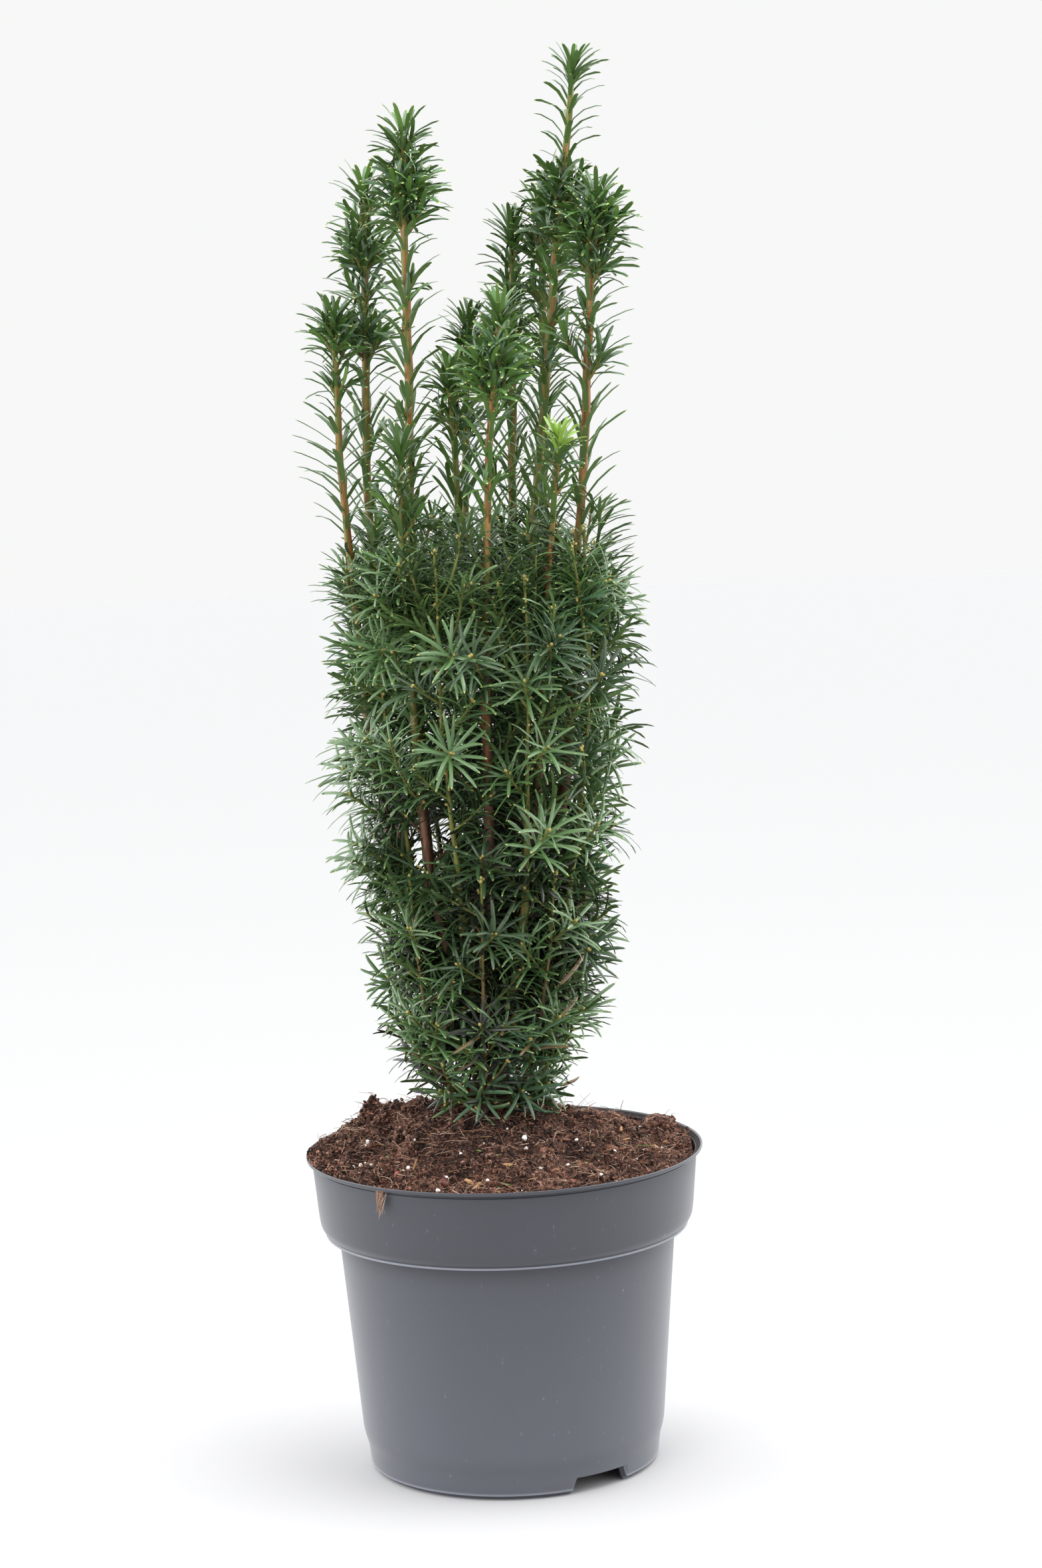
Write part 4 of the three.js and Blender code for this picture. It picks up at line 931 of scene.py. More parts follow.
def needle_mesh(name, records, materials, replaces, slot):
    """All needles of a group as one mesh. A needle's line is the sum of short steps whose direction turns
    from its opening angle to its arched one, in the plane of its shoot's axis and its own bearing, with a
    sideways bow. Across it lie its right edge, its raised keel and its left edge, at the width of each
    station."""
    data = np.concatenate(records)
    count, stations = len(data), len(NEEDLE_STATIONS)
    root, axis, radial = (data[:, k:k + 3] for k in (0, 3, 6))
    size, opened, arched, width, twist, bow, tint = data[:, 9:].T
    ends = np.append(NEEDLE_STATIONS, 1.0)
    middles = (ends[:-1] + ends[1:]) / 2
    angle = opened[:, None] + (arched - opened)[:, None] * middles ** 1.1
    across = unit(np.cross(axis, radial))[:, None]
    heading = unit(swung(angle, axis[:, None], radial[:, None])
                   + (bow[:, None] * (middles - 0.3))[..., None] * across)
    steps = heading * (np.diff(ends) * size[:, None])[..., None]
    line = root[:, None] + np.concatenate([np.zeros((count, 1, 3)), np.cumsum(steps, axis=1)], axis=1)
    directions = np.concatenate([heading, heading[:, -1:]], axis=1)
    right = unit(swung(twist[:, None] * ends, across, np.cross(directions, across)))
    above = np.cross(directions, right)
    half = (width[:, None] * NEEDLE_WIDTHS)[..., None] / 2
    body, right, above = line[:, :-1], right[:, :-1] * half, above[:, :-1] * half * 2 * NEEDLE_KEEL
    rings = np.stack([body + right, body + above, body - right], axis=2)
    each = stations * 3 + 1
    tips = np.vstack([fan_faces(each - 4, 3, each - 1), [[0, 2, 1]]])
    # Of a needle's finishes the first is its upper side's, the second its underside's and the third its
    # ends'.
    finish = np.tile([0, 0, 1], stations - 1)
    finish[:3] = 2
    used = np.unique(tint.astype(int))
    base = 3 * np.searchsorted(used, tint.astype(int))[:, None]
    shape = Shape()
    points = np.concatenate([rings.reshape(count, -1, 3), line[:, -1:]], axis=1)
    shape.add(points, grid_faces(stations, 3), tips, base + finish, base + 2)

    def sharp(pairs):
        """Edges that run along a needle, whose points lie three apart, or that meet its tip."""
        last = pairs % each == each - 1
        return (np.abs(pairs[:, 0] - pairs[:, 1]) == 3) | last.any(1)

    worn = [material for k in used for material in materials[TINT_NAMES[k]]]
    return shape.piece(name, worn, replaces, slot, sharp)


def bud_mesh(name, records, material):
    """Buds as small eggs: rings whose radius is the sine of the way up, fuller below, closed at both
    ends."""
    data = np.array(records)
    rows, columns = 4, 6
    rise = ((np.arange(rows) + 0.7) / (rows + 0.4))[:, None, None]
    axis = unit(data[:, None, None, 3:6])
    side = unit(np.cross(axis, [0.3, 1.0, 0.1]))
    ring = swung(turns(columns), side, np.cross(axis, side))
    size = data[:, 6, None, None, None]
    body = data[:, None, None, :3] + size * (
        np.sin(math.pi * rise ** 0.85) * ring + (rise * 2.6 - 0.6) * axis)
    poles = data[:, None, :3] + size[:, 0] * np.array([-0.6, 2.0])[:, None] * axis[:, 0]
    shape = Shape()
    shape.add(np.concatenate([body.reshape(len(data), -1, 3), poles], axis=1), *closed_faces(rows, columns))
    return shape.piece(name, [material])


# Soil

def off_trunk(x, y):
    """How far a place is from the trunk's foot."""
    return np.hypot(x - TRUNK_FOOT[0], y - TRUNK_FOOT[1])


def soil_height(x, y):
    """The source's height of the soil at a place, with its humps: a mound round the trunk over a sloping
    edge."""
    edge = lerp(SOIL_FRONT, SOIL_BACK, smooth(-60, 120, y + 0.4 * x))
    mound = 1 - smooth(SOIL_FLAT, SOIL_MOUND, off_trunk(x, y))
    humps = sum(h * np.exp(-((x - px) ** 2 + (y - py) ** 2) / s ** 2) for px, py, h, s in SOIL_HUMPS)
    waves = 2.2 * (np.sin(0.11 * x + 1.3) * np.cos(0.13 * y - 0.4) + np.sin(0.23 * x - 0.19 * y))
    return lerp(edge, SOIL_CROWN, mound) + (humps + waves) * (1 - mound ** 3)


def soil_top(x, y):
    """The height of the soil with its clods and crumbs: layers of noise from 24 down to 2 mm across."""
    relief = sum(amount * noise(x / across, y / across, seed) for across, amount, seed in (
        (24, 2.2, 11), (11, 3.0, 12), (5, 2.6, 13), (2.4, 1.6, 14)))
    rough = lerp(0.25, 1, smooth(*SMOOTH_SOIL, off_trunk(x, y)))
    return soil_height(x, y) + relief * rough - 0.4


def on_soil(x, y, lift=0.0):
    """Places on the soil: its height there plus a lift."""
    return np.stack([x, y, soil_top(x, y) + lift], -1)


def spots(rng, count, reach=130.0):
    """Even random places on the soil, outside its middle: the root of an even share times the reach."""
    radius = np.sqrt(rng.uniform((SOIL_MIDDLE / reach) ** 2, 1, count)) * reach
    return on_soil(*around(rng.uniform(0, math.tau, count), radius)[:, :2].T)


def graded(rng, middle, spread, count, low, high):
    """Sizes about a middle one, kept between two bounds: the logarithms are random with a bell's spread."""
    return np.exp(rng.normal(math.log(middle), spread, count)).clip(low, high)


ICOSAHEDRON = np.array([
    (0, 1, 1.618), (0, 1, -1.618), (0, -1, 1.618), (0, -1, -1.618), (1, 1.618, 0), (1, -1.618, 0),
    (-1, 1.618, 0), (-1, -1.618, 0), (1.618, 0, 1), (-1.618, 0, 1), (1.618, 0, -1), (-1.618, 0, -1)]) / 1.902


def icosahedron_faces():
    """The twenty triples of corners that lie one edge apart, each turned outwards."""
    near = np.linalg.norm(ICOSAHEDRON[:, None] - ICOSAHEDRON, axis=-1) < 1.1
    faces = np.array([(a, b, c) for a in range(12) for b in range(a + 1, 12) for c in range(b + 1, 12)
                      if near[a, b] and near[b, c] and near[a, c]])
    a, b, c = ICOSAHEDRON[faces].transpose(1, 0, 2)
    inward = (np.cross(b - a, c - a) * (a + b + c)).sum(1) < 0
    faces[inward] = faces[inward, ::-1]
    return faces


def lumps(shape, centres, sizes, rng, rough=0.22, slots=0, flat=False):
    """Many crumbs: the twelve corners of an icosahedron, each drawn in or out, squashed by axis, and
    turned. Flat ones keep nearly level."""
    count = len(centres)
    axes = rng.normal(size=(count, 3, 3))
    if flat:
        axes = axes * (1, 1, 0.25)
        axes[:, :, 2] = (0, 0, 1) + rng.normal(0, 0.25, (count, 3))
    order = -1 if flat else 1
    turned = np.linalg.qr(axes[:, :, ::order])[0][:, :, ::order]
    turned[np.linalg.det(turned) < 0, :, 0] *= -1
    corners = ICOSAHEDRON[None] * rng.uniform(1 - rough, 1 + rough, (count, 12, 1)) * sizes[:, None, :]
    points = np.einsum("nij,nkj->nki", turned, corners) + centres[:, None]
    shape.add(points, NO_QUADS, icosahedron_faces(), 0, np.broadcast_to(slots, count)[:, None])


def fibres(shape, starts, lengths, headings, bends, radius, slots, sag=0.0, within=SOIL_EDGE - 2):
    """Fine fibres of three sides, each a sum of five steps whose heading turns evenly along it, kept within
    a radius."""
    count, steps = len(starts), 5
    share = ((np.arange(steps) + 0.5) / steps)[:, None]
    heading = unit(headings[:, None] + bends[:, None] * share ** 1.3 - sag * np.array([0, 0, 1.0]) * share)
    line = np.concatenate([starts[:, None], starts[:, None] + np.cumsum(
        heading * (lengths / steps)[:, None, None], axis=1)], axis=1)
    line[..., :2] *= np.minimum(1, within / np.hypot(line[..., 0], line[..., 1]))[..., None]
    direction = unit(np.gradient(line, axis=1))[:, :, None]
    side = unit(np.cross(direction, [0.31, 0.22, 0.92]))
    thick = (radius[:, None] * lerp(1, 0.55, np.arange(steps + 1) / steps))[..., None, None]
    rings = line[:, :, None] + thick * swung(turns(3), side, np.cross(direction, side))
    caps = np.array([[0, 2, 1], [3 * steps, 3 * steps + 1, 3 * steps + 2]])
    shape.add(rings.reshape(count, -1, 3), grid_faces(steps + 1, 3), caps, slots[:, None], slots[:, None])


def clods(shape, places, rng):
    """Large lumps of compost: a ball's grid of latitude and longitude, each point drawn in or out by two
    layers of noise, and flattened."""
    rows, columns, flat = 14, 22, CLOD_FLATNESS
    rise = (math.pi * (np.arange(rows) + 0.6) / (rows + 0.2))[:, None]
    x, y, z = np.moveaxis(around(turns(columns), np.sin(rise), -np.cos(rise)), -1, 0)
    for at_x, at_y, size in places:
        a, b = rng.uniform(0, 50, 2)
        rough = (1 + 0.28 * noise(1.5 * x + a + z, 1.5 * y + b - z, 31)
                 + 0.14 * noise(5 * x + a - 3 * z, 5 * y + b + 3 * z, 32))
        ball = np.stack([x * rough * size, y * rough * size * 0.85, z * rough * size * flat], -1)
        poles = np.array([[0, 0, -flat * size], [0, 0, flat * size]])
        shape.add(np.vstack([ball.reshape(-1, 3), poles]) + on_soil(at_x, at_y, 0.18 * size),
                  *closed_faces(rows, columns))


# Settings

class YewPotSettings(bpy.types.PropertyGroup):
    height: FloatProperty(name="Height", description="Height of the pot", default=0.225, unit="LENGTH")
    rim_radius: FloatProperty(name="Lip radius", description="Radius of the pot's lip", default=0.14,
                              unit="LENGTH")
    colour: FloatVectorProperty(name="Colour", description="Colour of the moulded plastic", subtype="COLOR",
                                default=rgba("#3E4047")[:3])


class YewSoilSettings(bpy.types.PropertyGroup):
    crumbs: IntProperty(name="Crumbs", description="Number of loose crumbs on the soil", default=9000)
    fibres: IntProperty(name="Fibres", description="Number of peat fibres on the soil", default=5600)
    grains: IntProperty(name="White grains", description="Number of small perlite grains", default=120)


class YewCrownSettings(bpy.types.PropertyGroup):
    needle_length: FloatProperty(name="Needle length", description="Length of a full-grown needle",
                                 default=0.031, unit="LENGTH")
    needle_width: FloatProperty(name="Needle width", description="Width of a full-grown needle",
                                default=0.003, unit="LENGTH")
    seed: IntProperty(name="Seed", description="Seed of the crown's finer growth", default=7)


class YewStageSettings(bpy.types.PropertyGroup):
    floor_colour: FloatVectorProperty(name="Floor", description="Colour of the studio floor", subtype="COLOR",
                                      default=rgba("#B8B8B8")[:3])
    light: FloatProperty(name="Key light", description="Power of the front soft light", default=30.0,
                         unit="POWER")


# The stage

def aimed(name, data, right, up, back, at):
    """A camera or light at a place in metres, looking away from its back."""
    made = linked(name, data)
    made.matrix_world = Matrix([*np.column_stack([right, up, back, at]).tolist(), [0, 0, 0, 1]])
    return made


def make_camera():
    """The camera at the photograph's place, fitted to the ellipses of the pot's lip and foot."""
    focal, frame_height, sensor = 5421, 2359, 36.0
    yaw, pitch, roll = (math.radians(a) for a in (0.48, 7.06, -2.03))
    forward = np.array([math.sin(yaw) * math.cos(pitch), math.cos(yaw) * math.cos(pitch), -math.sin(pitch)])
    level = np.array([math.cos(yaw), -math.sin(yaw), 0])
    up = np.cross(level, forward)
    camera = bpy.data.cameras.new("camera")
    camera.sensor_width, camera.lens = sensor, sensor * focal / frame_height
    camera.clip_start, camera.clip_end = 0.05, 60
    eye = (0, -EYE_DISTANCE * MM, EYE_HEIGHT * MM)
    bpy.context.scene.camera = aimed("camera", camera, swung(roll, level, up), swung(roll, up, -level),
                                     -forward, eye)


def make_floor(colour):
    """A wide pale disc: even turns by a few radii in metres."""
    radius, columns = np.array([0.3, 1.2, 3.5, 9.0])[:, None], 96
    rings = around(turns(columns), radius).reshape(-1, 3)
    points = np.vstack([rings, [[0, 0, 0]]])
    mesh = bpy.data.meshes.new("floor")
    faces = [*grid_faces(len(radius), columns)[:, ::-1].tolist(), *fan_faces(0, columns, len(rings)).tolist()]
    mesh.from_pydata(points.tolist(), [], faces)
    made, shader = new_material("matt_studio_board", Roughness=0.8)
    away = node(made, "VectorMath", (node(made, "TexCoord", out="Object"),), "Value", operation="LENGTH")
    far = node(made, "MapRange", Value=away, From_Min=0.24, From_Max=0.9)
    board = node(made, "Mix", {0: far, 6: (*colour, 1), 7: rgba("#AAABAA")}, 2, data_type="RGBA")
    mesh.materials.append(dressed(made, shader, board))
    floor = linked("floor", mesh)


def make_lights(power):
    """A white studio all round, brighter overhead and dim towards the front, with two soft lights above."""
    world = bpy.context.scene.world = emptied(bpy.data.worlds.new("studio"))
    way = node(world, "SeparateXYZ", Vector=node(world, "TexCoord", out="Generated")).node.outputs
    front = node(world, "MapRange", Value=way["Y"], From_Min=-1, From_Max=0.4, To_Min=0.36, To_Max=1.8,
                 interpolation_type="SMOOTHSTEP")
    above = node(world, "MapRange", Value=way["Z"], From_Min=0.05, From_Max=0.8, To_Min=0.9, To_Max=1.1)
    off = node(world, "Math", (way["X"],), operation="ABSOLUTE")
    aside = node(world, "MapRange", Value=off, From_Min=0.3, From_Max=1, To_Min=0, To_Max=2.5)
    strength = node(world, "Math", (node(world, "Math", (front, aside)), above), operation="MULTIPLY")
    lit = node(world, "Background", Color=rgba("#FDFDFF"), Strength=strength)
    seen = node(world, "Background", Color=rgba("#F7F8F7"), Strength=1)
    camera_sees = node(world, "LightPath", out="Is Camera Ray")
    node(world, "OutputWorld", Surface=node(world, "MixShader", (camera_sees, lit, seen)))
    for name, at, size, share in (("overhead", (0.7, -0.5, 2.7), 1.3, 0.9),
                                  ("front_left", (-1.2, -2.3, 2.0), 1.6, 1)):
        light = bpy.data.lights.new(name, "AREA")
        light.energy, light.size = power * share, size
        aim = (0, 0, 0.5) - np.array(at)
        side = np.cross(aim, [0, 0, 1])
        aimed(name, light, unit(side), unit(np.cross(side, aim)), -unit(aim), at)


class YEW_OT_stage(bpy.types.Operator):
    """Make the camera, the floor and the soft light"""
    bl_idname = "yew.stage"
    bl_label = "Stage"

    def execute(self, context):
        settings = context.scene.yew_stage
        context.scene.view_settings.view_transform = "Standard"
        make_camera()
        make_floor(settings.floor_colour)
        make_lights(settings.light)
        return {"FINISHED"}


# The pot

def pot_turns():
    """Even turns, with the notches' corners among them."""
    corners = [math.radians(degrees) + sign * half / FOOT_RADIUS + small
               for degrees in NOTCH_AZIMUTHS for sign in (-1, 1)
               for half in (NOTCH_HALF_BASE, NOTCH_HALF_TOP) for small in (-0.004, 0, 0.004)]
    return np.unique(np.round(np.concatenate([turns(POT_COLUMNS), np.array(corners) % math.tau]), 5))


def pot_profile(tall, rim):
    """The wall's section as radius and height pairs, each corner rounded by a quadratic curve from a little
    before it to a little after it."""
    band_foot, lip_foot, band_top = tall - BAND_DEPTH, tall - LIP_DEPTH, rim - LIP_STAND_OUT
    band_low, ring, floor_top = band_top - BAND_TAPER, FOOT_RADIUS - FOOT_RING_WIDTH, FLOOR_HEIGHT + WALL
    corners = np.array([
        (2, FLOOR_HEIGHT, 0), (ring, FLOOR_HEIGHT, 0.5), (ring, 0, 0.5), (FOOT_RADIUS - 3.8, 0, 0.2),
        (FOOT_RADIUS - 3.7, 2.3, 0.3), (FOOT_RADIUS + 0.1, FOOT_EDGE, 0.5),
        (FOOT_RADIUS + 1.6, FOOT_HEIGHT - 2, 5), (BODY_FOOT_RADIUS, FOOT_HEIGHT + 7, 5),
        (BODY_TOP_RADIUS, band_foot, 0.5), (band_low - 4.2, band_foot + 0.2, 0.3),
        (band_low - 4.2, band_foot + 1.4, 0.3), (band_low - 5.0, band_foot + 1.9, 0.3),
        (band_low - 1.2, band_foot + 6.2, 3), (band_low, band_foot + 14, 3.5),
        (band_top - 0.1, lip_foot - 2.4, 0.4), (band_top - 0.9, lip_foot - 1.8, 0.3),
        (band_top - 0.9, lip_foot, 0.3), (rim - 0.5, lip_foot + 0.3, 0.5), (rim, lip_foot + 1.4, 0.6),
        (rim, tall, 0.5), (rim - 0.9, tall - 0.1, 0.3), (rim - 1.7, tall - 1.1, 0.3),
        (band_top - 0.5, tall - 2.4, 0.5), (band_top - 1.2, lip_foot - 2, 0.6),
        (band_low - WALL, band_foot + 14, 2), (band_low - 6, band_foot + 4.2, 1.5),
        (BODY_TOP_RADIUS - WALL, band_foot + 2, 1), (BODY_FOOT_RADIUS - WALL, FOOT_HEIGHT + 5.5, 1),
        (FOOT_RADIUS - 0.4, floor_top, 1), (2, floor_top, 0)])
    corner, round_by = corners[1:-1, None, :2], corners[1:-1, None, 2:]
    start, end = (corner + round_by * unit(beside[:, None, :2] - corner)
                  for beside in (corners[:-2], corners[2:]))
    t = np.linspace(0, 1, 5)[:, None]
    curves = (1 - t) ** 2 * start + 2 * t * (1 - t) * corner + t ** 2 * end
    return np.vstack([corners[:1, :2], curves.reshape(-1, 2), corners[-1:, :2]])


def notch_rise(turn):
    """How far the foot's lower edge is raised at each turn: level in a notch, and sloping at its sides."""
    off = np.abs((turn - np.radians(NOTCH_AZIMUTHS)[:, None] + math.pi) % math.tau - math.pi) * FOOT_RADIUS
    rise = np.clip((NOTCH_HALF_BASE - off) / (NOTCH_HALF_BASE - NOTCH_HALF_TOP), 0, 1)
    return NOTCH_HEIGHT * rise.max(0)


def drain(pot):
    """Cuts the drain holes through the floor with upright tubes."""
    cutter = Shape()
    for k in range(DRAINS):
        path = around(math.pi * (k + 0.5) / 2, DRAIN_CIRCLE, FLOOR_HEIGHT + np.array([-4.0, 1, 6]))
        cutter.tube(path, [DRAIN_RADIUS] * 3, 32)
    tool = cutter.piece("drain_tool", [])
    cut = pot.modifiers.new("drains", "BOOLEAN")
    cut.operation, cut.solver, cut.object = "DIFFERENCE", "EXACT", tool
    bpy.context.view_layer.update()
    mesh = bpy.data.meshes.new_from_object(pot.evaluated_get(bpy.context.evaluated_depsgraph_get()))
    pot.modifiers.clear()
    pot.data = mesh
    mesh.name = "pot_wall"
    bpy.data.objects.remove(tool)


class YEW_OT_pot(bpy.types.Operator):
    """Make the moulded nursery pot"""
    bl_idname = "yew.pot"
    bl_label = "Pot"

    def execute(self, context):
        # The section is turned about the upright axis, and its lowest points are raised at the notches.
        settings = context.scene.yew_pot
        profile, turn = pot_profile(settings.height / MM, settings.rim_radius / MM), pot_turns()
        rows, columns = len(profile), len(turn)
        radius, height = profile.T
        heights = height[:, None] + notch_rise(turn) * np.clip(1 - height / FLOOR_HEIGHT, 0, 1)[:, None]
        poles = [[0, 0, FLOOR_HEIGHT], [0, 0, FLOOR_HEIGHT + WALL]]
        points = np.vstack([around(turn, radius[:, None], heights).reshape(-1, 3), poles])
        # Rows round the foot's lower edge carry a painted highlight
        foot_edge = (np.abs(height - FOOT_EDGE) < 0.9) & (radius > FOOT_RADIUS - 1.5)
        # Rows inside the mouth take the near-black plastic: painted shade over a peat stain
        inside = (np.arange(rows) > height.argmax()) & (radius < radius.max() - 1.3)
        shape = Shape()
        shape.add(points, *closed_faces(rows, columns), np.repeat(inside[:-1], columns).astype(int),
                  np.repeat([0, 1], columns), foot_edge=np.append(np.repeat(foot_edge, columns), [0, 0]))
        plastics = [moulded_polypropylene(settings.colour), stained_polypropylene()]
        pot = shape.piece("pot_wall", plastics, ["pot"], "pot")
        drain(pot)
        pot.data.set_sharp_from_angle(angle=SHARP_ANGLE)
        return {"FINISHED"}


# The compost and what lies on it

def make_ground(peat):
    """The compost's body: rings up inside the pot, then a disc drawn in to the trunk's foot whose height is
    the soil's at each place."""
    turn = turns(440)
    rings = [around(turn, radius, z) for radius, z in SOIL_SIDE]
    for share in np.linspace(1, 0.09, 150):
        rings.append(on_soil(TRUNK_FOOT[0] * (1 - share) + SOIL_EDGE * share * np.cos(turn),
                             TRUNK_FOOT[1] * (1 - share) + SOIL_EDGE * share * np.sin(turn)))
    shape = Shape()
    shape.add(np.vstack([*rings, [[0, 0, SOIL_SIDE[0][1]]], [[*TRUNK_FOOT, SOIL_CROWN]]]),
              *closed_faces(len(rings), len(turn)))
    shape.piece("compost", [peat], ["soil"], "soil")


def make_crumbs(count, rng, materials):
    """Loose crumbs over the whole soil, and the large clods."""
    shape = Shape()
    centres = spots(rng, count, 132)
    size = graded(rng, 0.85, 0.45, count, 0.4, 2.8)
    centres[:, 2] += size * rng.uniform(-0.2, 0.9, count)
    lumps(shape, centres, size[:, None] * rng.uniform(0.6, 1.3, (count, 3)), rng, 0.35,
          rng.choice([0, 0, 1, 2], count))
    clods(shape, CLODS, rng)
    spill(shape, rng)
    shape.piece("peat_crumbs", materials, slot="soil")


def spill(shape, rng):
    """Crumbs that lie on the lip at the left, where the compost is heaped against it."""
    count, outer = 520, 139.2
    at = np.radians(rng.normal(187, 13, count))
    reach = rng.uniform(131, outer, count)
    size = np.minimum(graded(rng, 0.8, 0.4, count, 0.4, 1.6), outer + 0.4 - reach + 0.3)
    height = 225.1 + size * 0.5 + rng.uniform(0, 2.6, count) * smooth(139, 131, reach)
    lumps(shape, around(at, reach, height), size[:, None] * rng.uniform(0.7, 1.1, (count, 3)), rng, 0.3,
          rng.choice([0, 1, 2], count))


def make_fibres(count, rng):
    """Peat fibres that curl over the soil, and the wisp that hangs over the lip."""
    shape = Shape()
    starts = spots(rng, count)
    starts[:, 2] += rng.uniform(0.2, 1.6, count)
    headings = around(rng.uniform(0, math.tau, count), 1, rng.uniform(-0.15, 0.5, count)
                      + 0.9 * (rng.random(count) < 0.12))
    bends = rng.normal(0, 1.1, (count, 3)) * (1, 1, 0.35)
    lengths = graded(rng, 7, 0.5, count, 2.5, 22)
    fibres(shape, starts, lengths, headings, bends,
           rng.choice([0.16, 0.22, 0.34], count, p=[0.5, 0.36, 0.14]),
           rng.choice([0, 0, 0, 1, 1, 2], count), 0.6)
    hung = 60
    aside = rng.normal(0, 0.75, hung)
    starts = around(np.radians(-127.5 + aside), 139.4 + rng.uniform(-0.6, 0.3, hung),
                    rng.uniform(216, 225.4, hung))
    headings = np.column_stack([rng.normal(-0.08, 0.1, hung) - 0.14 * aside, rng.normal(0, 0.06, hung),
                                np.full(hung, -1.0)])
    bends = np.column_stack([rng.normal(-0.1, 0.3, hung), rng.normal(0, 0.15, hung), np.zeros(hung)])
    fibres(shape, starts, rng.uniform(5, 15, hung), headings, bends, rng.uniform(0.1, 0.2, hung),
           rng.choice([0, 1, 1, 2], hung), 0.3, 203)
    tones = [plain_matter(f"peat_fibre_{name}", colour, 0.8) for name, colour in FIBRE_FINISHES]
    shape.piece("peat_fibres", tones, slot="soil")


def make_bits(count, rng):
    """Perlite grains, bark chips, twigs, fallen needles and green bits."""
    shape = Shape()
    x, y, large = GRAINS.T
    centres = np.vstack([on_soil(x, y), spots(rng, count)])
    size = np.append(large, graded(rng, 0.55, 0.4, count, 0.3, 1.3))
    centres[:, 2] += size * 0.7
    lumps(shape, centres, size[:, None] * rng.uniform(0.75, 1.2, (len(size), 3)), rng, 0.18)
    for number, low, high, slots in LOOSE_BITS:
        centres = spots(rng, number, 122)
        centres[:, 2] += 1.0
        lumps(shape, centres, rng.uniform(low, high, (number, 3)), rng, 0.15, rng.choice(slots, number), True)
    for x, y, *sizes, slot in CHIPS:
        lumps(shape, on_soil(x, y, sizes[2] * 0.8)[None], np.array([sizes]), rng, 0.12, slot, True)
    x, y, lengths, bearing, thick, slots = TWIGS.T
    turn = np.radians(bearing)
    bends = around(turn + math.pi / 2, 1) * 0.7
    fibres(shape, on_soil(x, y, 1.2), lengths, around(turn, 1, 0.12), bends, thick, slots.astype(int), 0.2)
    shape.piece("perlite_and_chips", [plain_matter(*finish) for finish in BIT_FINISHES], slot="soil")


class YEW_OT_soil(bpy.types.Operator):
    """Make the peat compost with its crumbs, fibres, perlite and bark chips"""
    bl_idname = "yew.soil"
    bl_label = "Soil"

    def execute(self, context):
        settings, rng = context.scene.yew_soil, np.random.default_rng(21)
        *peats, between = (peat_compost(*tones) for tones in (
            ("moist_peat", "#100805", "#523529", "#BF9783"), ("rusty_peat", "#22130D", "#6E4433", "#C49781"),
            ("black_peat", "#0D0807", "#281A14", "#63493B"),
            ("peat_between_crumbs", "#0A0504", "#331F18", "#84604F")))
        make_ground(between)
        make_crumbs(settings.crumbs, rng, peats)
        make_fibres(settings.fibres, rng)
        make_bits(settings.grains, rng)
        return {"FINISHED"}


# The trunk and boughs

def make_trunk():
    """The trunk's taper and flare, with root lobes and long bark ridges as waves round it."""
    heights = TRUNK_BASE + np.linspace(-5, TRUNK_TOP - TRUNK_BASE, 90)
    z, turn = heights[:, None], turns(72)
    lobes = 0.13 * np.exp(-(np.maximum(z, TRUNK_BASE) - TRUNK_BASE) / FLARE_HEIGHT) * np.cos(5 * turn + 0.4)
    ridges = 0.035 * np.sin(9 * turn + 0.05 * z + np.sin(0.11 * z)) + 0.02 * np.sin(17 * turn - 0.08 * z)
    flakes = 0.025 * noise(turn * 60 / math.tau, z / 7, 3)
    shape = Shape()
    shape.tube(trunk_centre(heights), trunk_radius(np.maximum(heights, TRUNK_BASE)), len(turn),
               1 + lobes + ridges + flakes)
    shape.piece("trunk_bark", [old_bark()], ["trunk"], "trunk")


def add_limb(shape, plan, number):
    """A bough and the stem that runs on from it, in one: an even taper, waves along it for old bark, and
    above that narrow ribs that spiral down from the needles."""
    leader = plan.kind == "leader"
    sides, step = (18, 2.6) if leader else (10, 4.0)
    heights = np.linspace(plan.foot, plan.tip, int((plan.tip - plan.foot) / step))
    path = on_route(plan.knots, heights)
    # The stem wanders by half a millimetre.
    path[:, 0] += 0.5 * np.sin(heights / 31 + number) + 0.25 * np.sin(heights / 9.7 + 2 * number)
    path[:, 1] += 0.5 * np.cos(heights / 27 + number)
    low, high = plan.radius, plan.radius * ENTRY_SHARE
    upper = leader_radius(plan, heights) if leader else lerp(
        high, SHOOT_TIP_RADIUS, np.clip((heights - plan.entry) / (plan.tip - plan.entry), 0, 1) ** 0.3)
    radii = np.where(heights < plan.entry, lerp(low, high, smooth(plan.foot, plan.entry, heights)), upper)
    turn, z = turns(sides), heights[:, None]
    wave = np.cos(3 * turn + z / 15 + number) * 0.5 + 0.5
    fine = np.cos(5 * turn - z / 9 + 2 * number) * 0.5 + 0.5
    rib = smooth(0.45, 0.9, np.maximum(wave, fine * 0.85))
    age = 1 - smooth(*(LEADER_AGES if leader else SHOOT_AGES), z)
    young = 1 - age
    relief = 1 + 0.11 * young * (rib - 0.4) + 0.05 * (1 - young) * np.sin(4 * turn + z / 6 + number)
    relief = relief + 0.03 * noise(turn * 16 / math.tau, z / 4, 40 + number)
    redness = plan.redness + 0.2 * np.sin(z / 47 + 1.7 * number) - 0.25 * smooth(plan.top - 60, plan.top, z)

    def laid(values, ends):
        """Values spread over the rings' points, then those of the two poles."""
        return np.append(np.broadcast_to(values, rib.shape), ends)

    shape.tube(path, radii, sides, relief, rib=laid(rib * young, (0, 0)), age=laid(age, age[[0, -1]]),
               redness=laid(redness, redness[[0, -1]]))


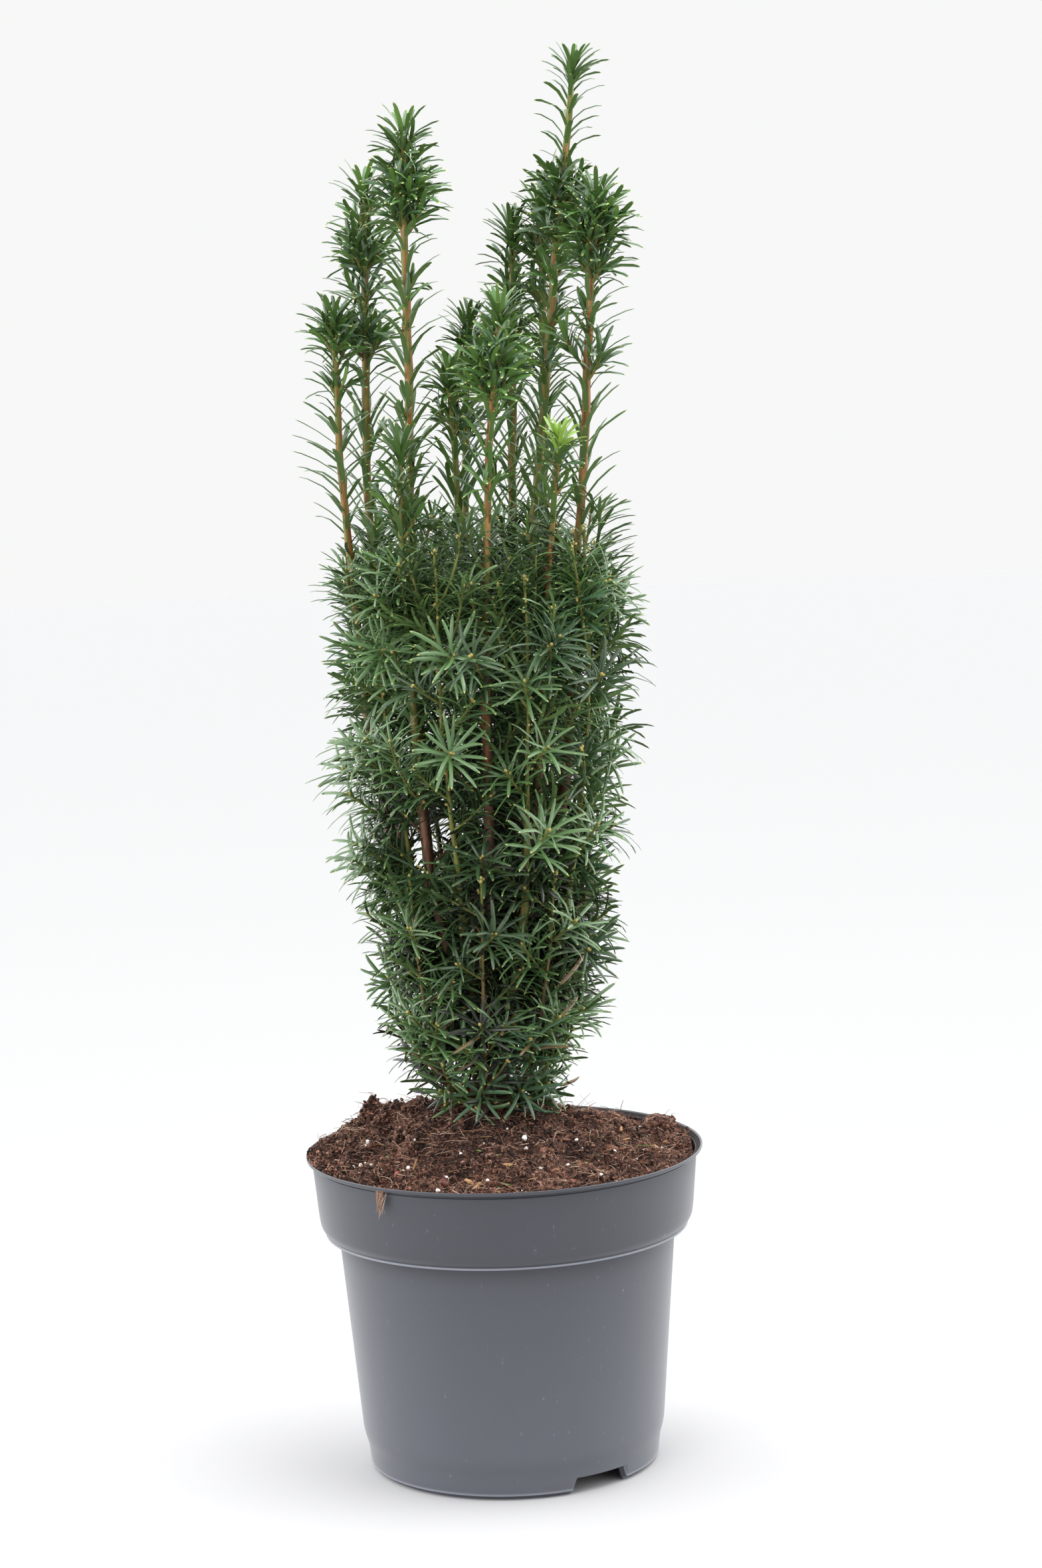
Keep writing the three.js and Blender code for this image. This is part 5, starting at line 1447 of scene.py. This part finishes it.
class YEW_OT_limbs(bpy.types.Operator):
    """Make the trunk, the boughs and the leaders' stems with their bark"""
    bl_idname = "yew.limbs"
    bl_label = "Trunk and boughs"

    def execute(self, context):
        make_trunk()
        shape, plans = Shape(), bough_plans()
        for number, plan in enumerate([*plans, *skirt_plans()]):
            add_limb(shape, plan, number)
        shape.piece("boughs_and_stems", [stem_bark()], [f"bough_{plan.name}" for plan in plans], "bough")
        return {"FINISHED"}


# The crown

def needle_materials(name):
    """A yew needle: a waxy dark upper side, a paler matt underside, and pale ends."""
    waxy = (0.4, 1.47, 0.45 if name in GLOSSY_TINTS else 0.2)
    return [plain_matter(f"yew_needle_{name}_{side}", colour, *finish)
            for side, colour, finish in zip(("upper", "under", "end"), TINTS[name], (waxy, (0.6,), (0.5,)))]


class YEW_OT_crown(bpy.types.Operator):
    """Grow the shoots, needles and buds on the limbs"""
    bl_idname = "yew.crown"
    bl_label = "Crown"

    def execute(self, context):
        crown = Crown(context.scene.yew_crown)
        boughs = bough_plans()
        plans, stands_for = [*boughs, *skirt_plans()], {}
        for index, plan in enumerate(plans):
            stands_for.setdefault(plan.group, []).append(f"foliage_{plan.name}")
            if plan.kind == "leader":
                dress_leader(crown, plan, index + 1)
            else:
                dress_flank(crown, plan, index + 1, plan.entry + (20 if plan.kind == "skirt" else 0))
        dress_inside(crown, boughs)
        materials = {name: needle_materials(name) for name in TINTS}
        for group, records in crown.needles.items():
            slot = "foliage_leader" if group.startswith("leaders") else "foliage_body"
            needle_mesh(f"needles_{group}", records, materials, stands_for.get(group, ()), slot)
        bud = plain_matter("yew_bud_scale", "#B3A35C", 0.55)
        bud_mesh("buds", [b for group in crown.buds.values() for b in group], bud)
        shoots, groups = Shape(), list(SHOOT_COLOURS)
        for name, group in crown.shoots.items():
            for path, radii in group:
                shoots.tube(path, np.linspace(*radii, len(path)), 6, slot=groups.index(name))
        shoots.piece("side_shoots", [plain_matter(f"yew_twig_{name}", colour, 0.6)
                                     for name, colour in SHOOT_COLOURS.items()], slot="bough")
        return {"FINISHED"}


class YEW_PT_panel(bpy.types.Panel):
    """The plant's pieces and their settings"""
    bl_label = "Potted yew"
    bl_space_type = "VIEW_3D"
    bl_region_type = "UI"
    bl_category = "Yew"

    def draw(self, context):
        for name in ("stage", "pot", "soil", "limbs", "crown"):
            box = self.layout.box()
            settings = getattr(context.scene, f"yew_{name}", None)
            for setting in getattr(settings, "__annotations__", ()):
                box.prop(settings, setting)
            box.operator(f"yew.{name}")


SETTINGS = {"yew_pot": YewPotSettings, "yew_soil": YewSoilSettings, "yew_crown": YewCrownSettings,
            "yew_stage": YewStageSettings}
CLASSES = (*SETTINGS.values(), YEW_OT_stage, YEW_OT_pot, YEW_OT_soil, YEW_OT_limbs, YEW_OT_crown,
           YEW_PT_panel)


def register():
    """Registers the classes and gives the scene their settings."""
    for made in CLASSES:
        bpy.utils.register_class(made)
    for name, group in SETTINGS.items():
        setattr(bpy.types.Scene, name, PointerProperty(type=group))


def unregister():
    """Takes the settings and the classes away again."""
    for name in SETTINGS:
        delattr(bpy.types.Scene, name)
    for made in reversed(CLASSES):
        bpy.utils.unregister_class(made)


def main():
    """Makes every piece by its operator."""
    register()
    bpy.ops.yew.stage()
    bpy.ops.yew.pot()
    bpy.ops.yew.soil()
    bpy.ops.yew.limbs()
    bpy.ops.yew.crown()


if __name__ == "__main__":
    main()
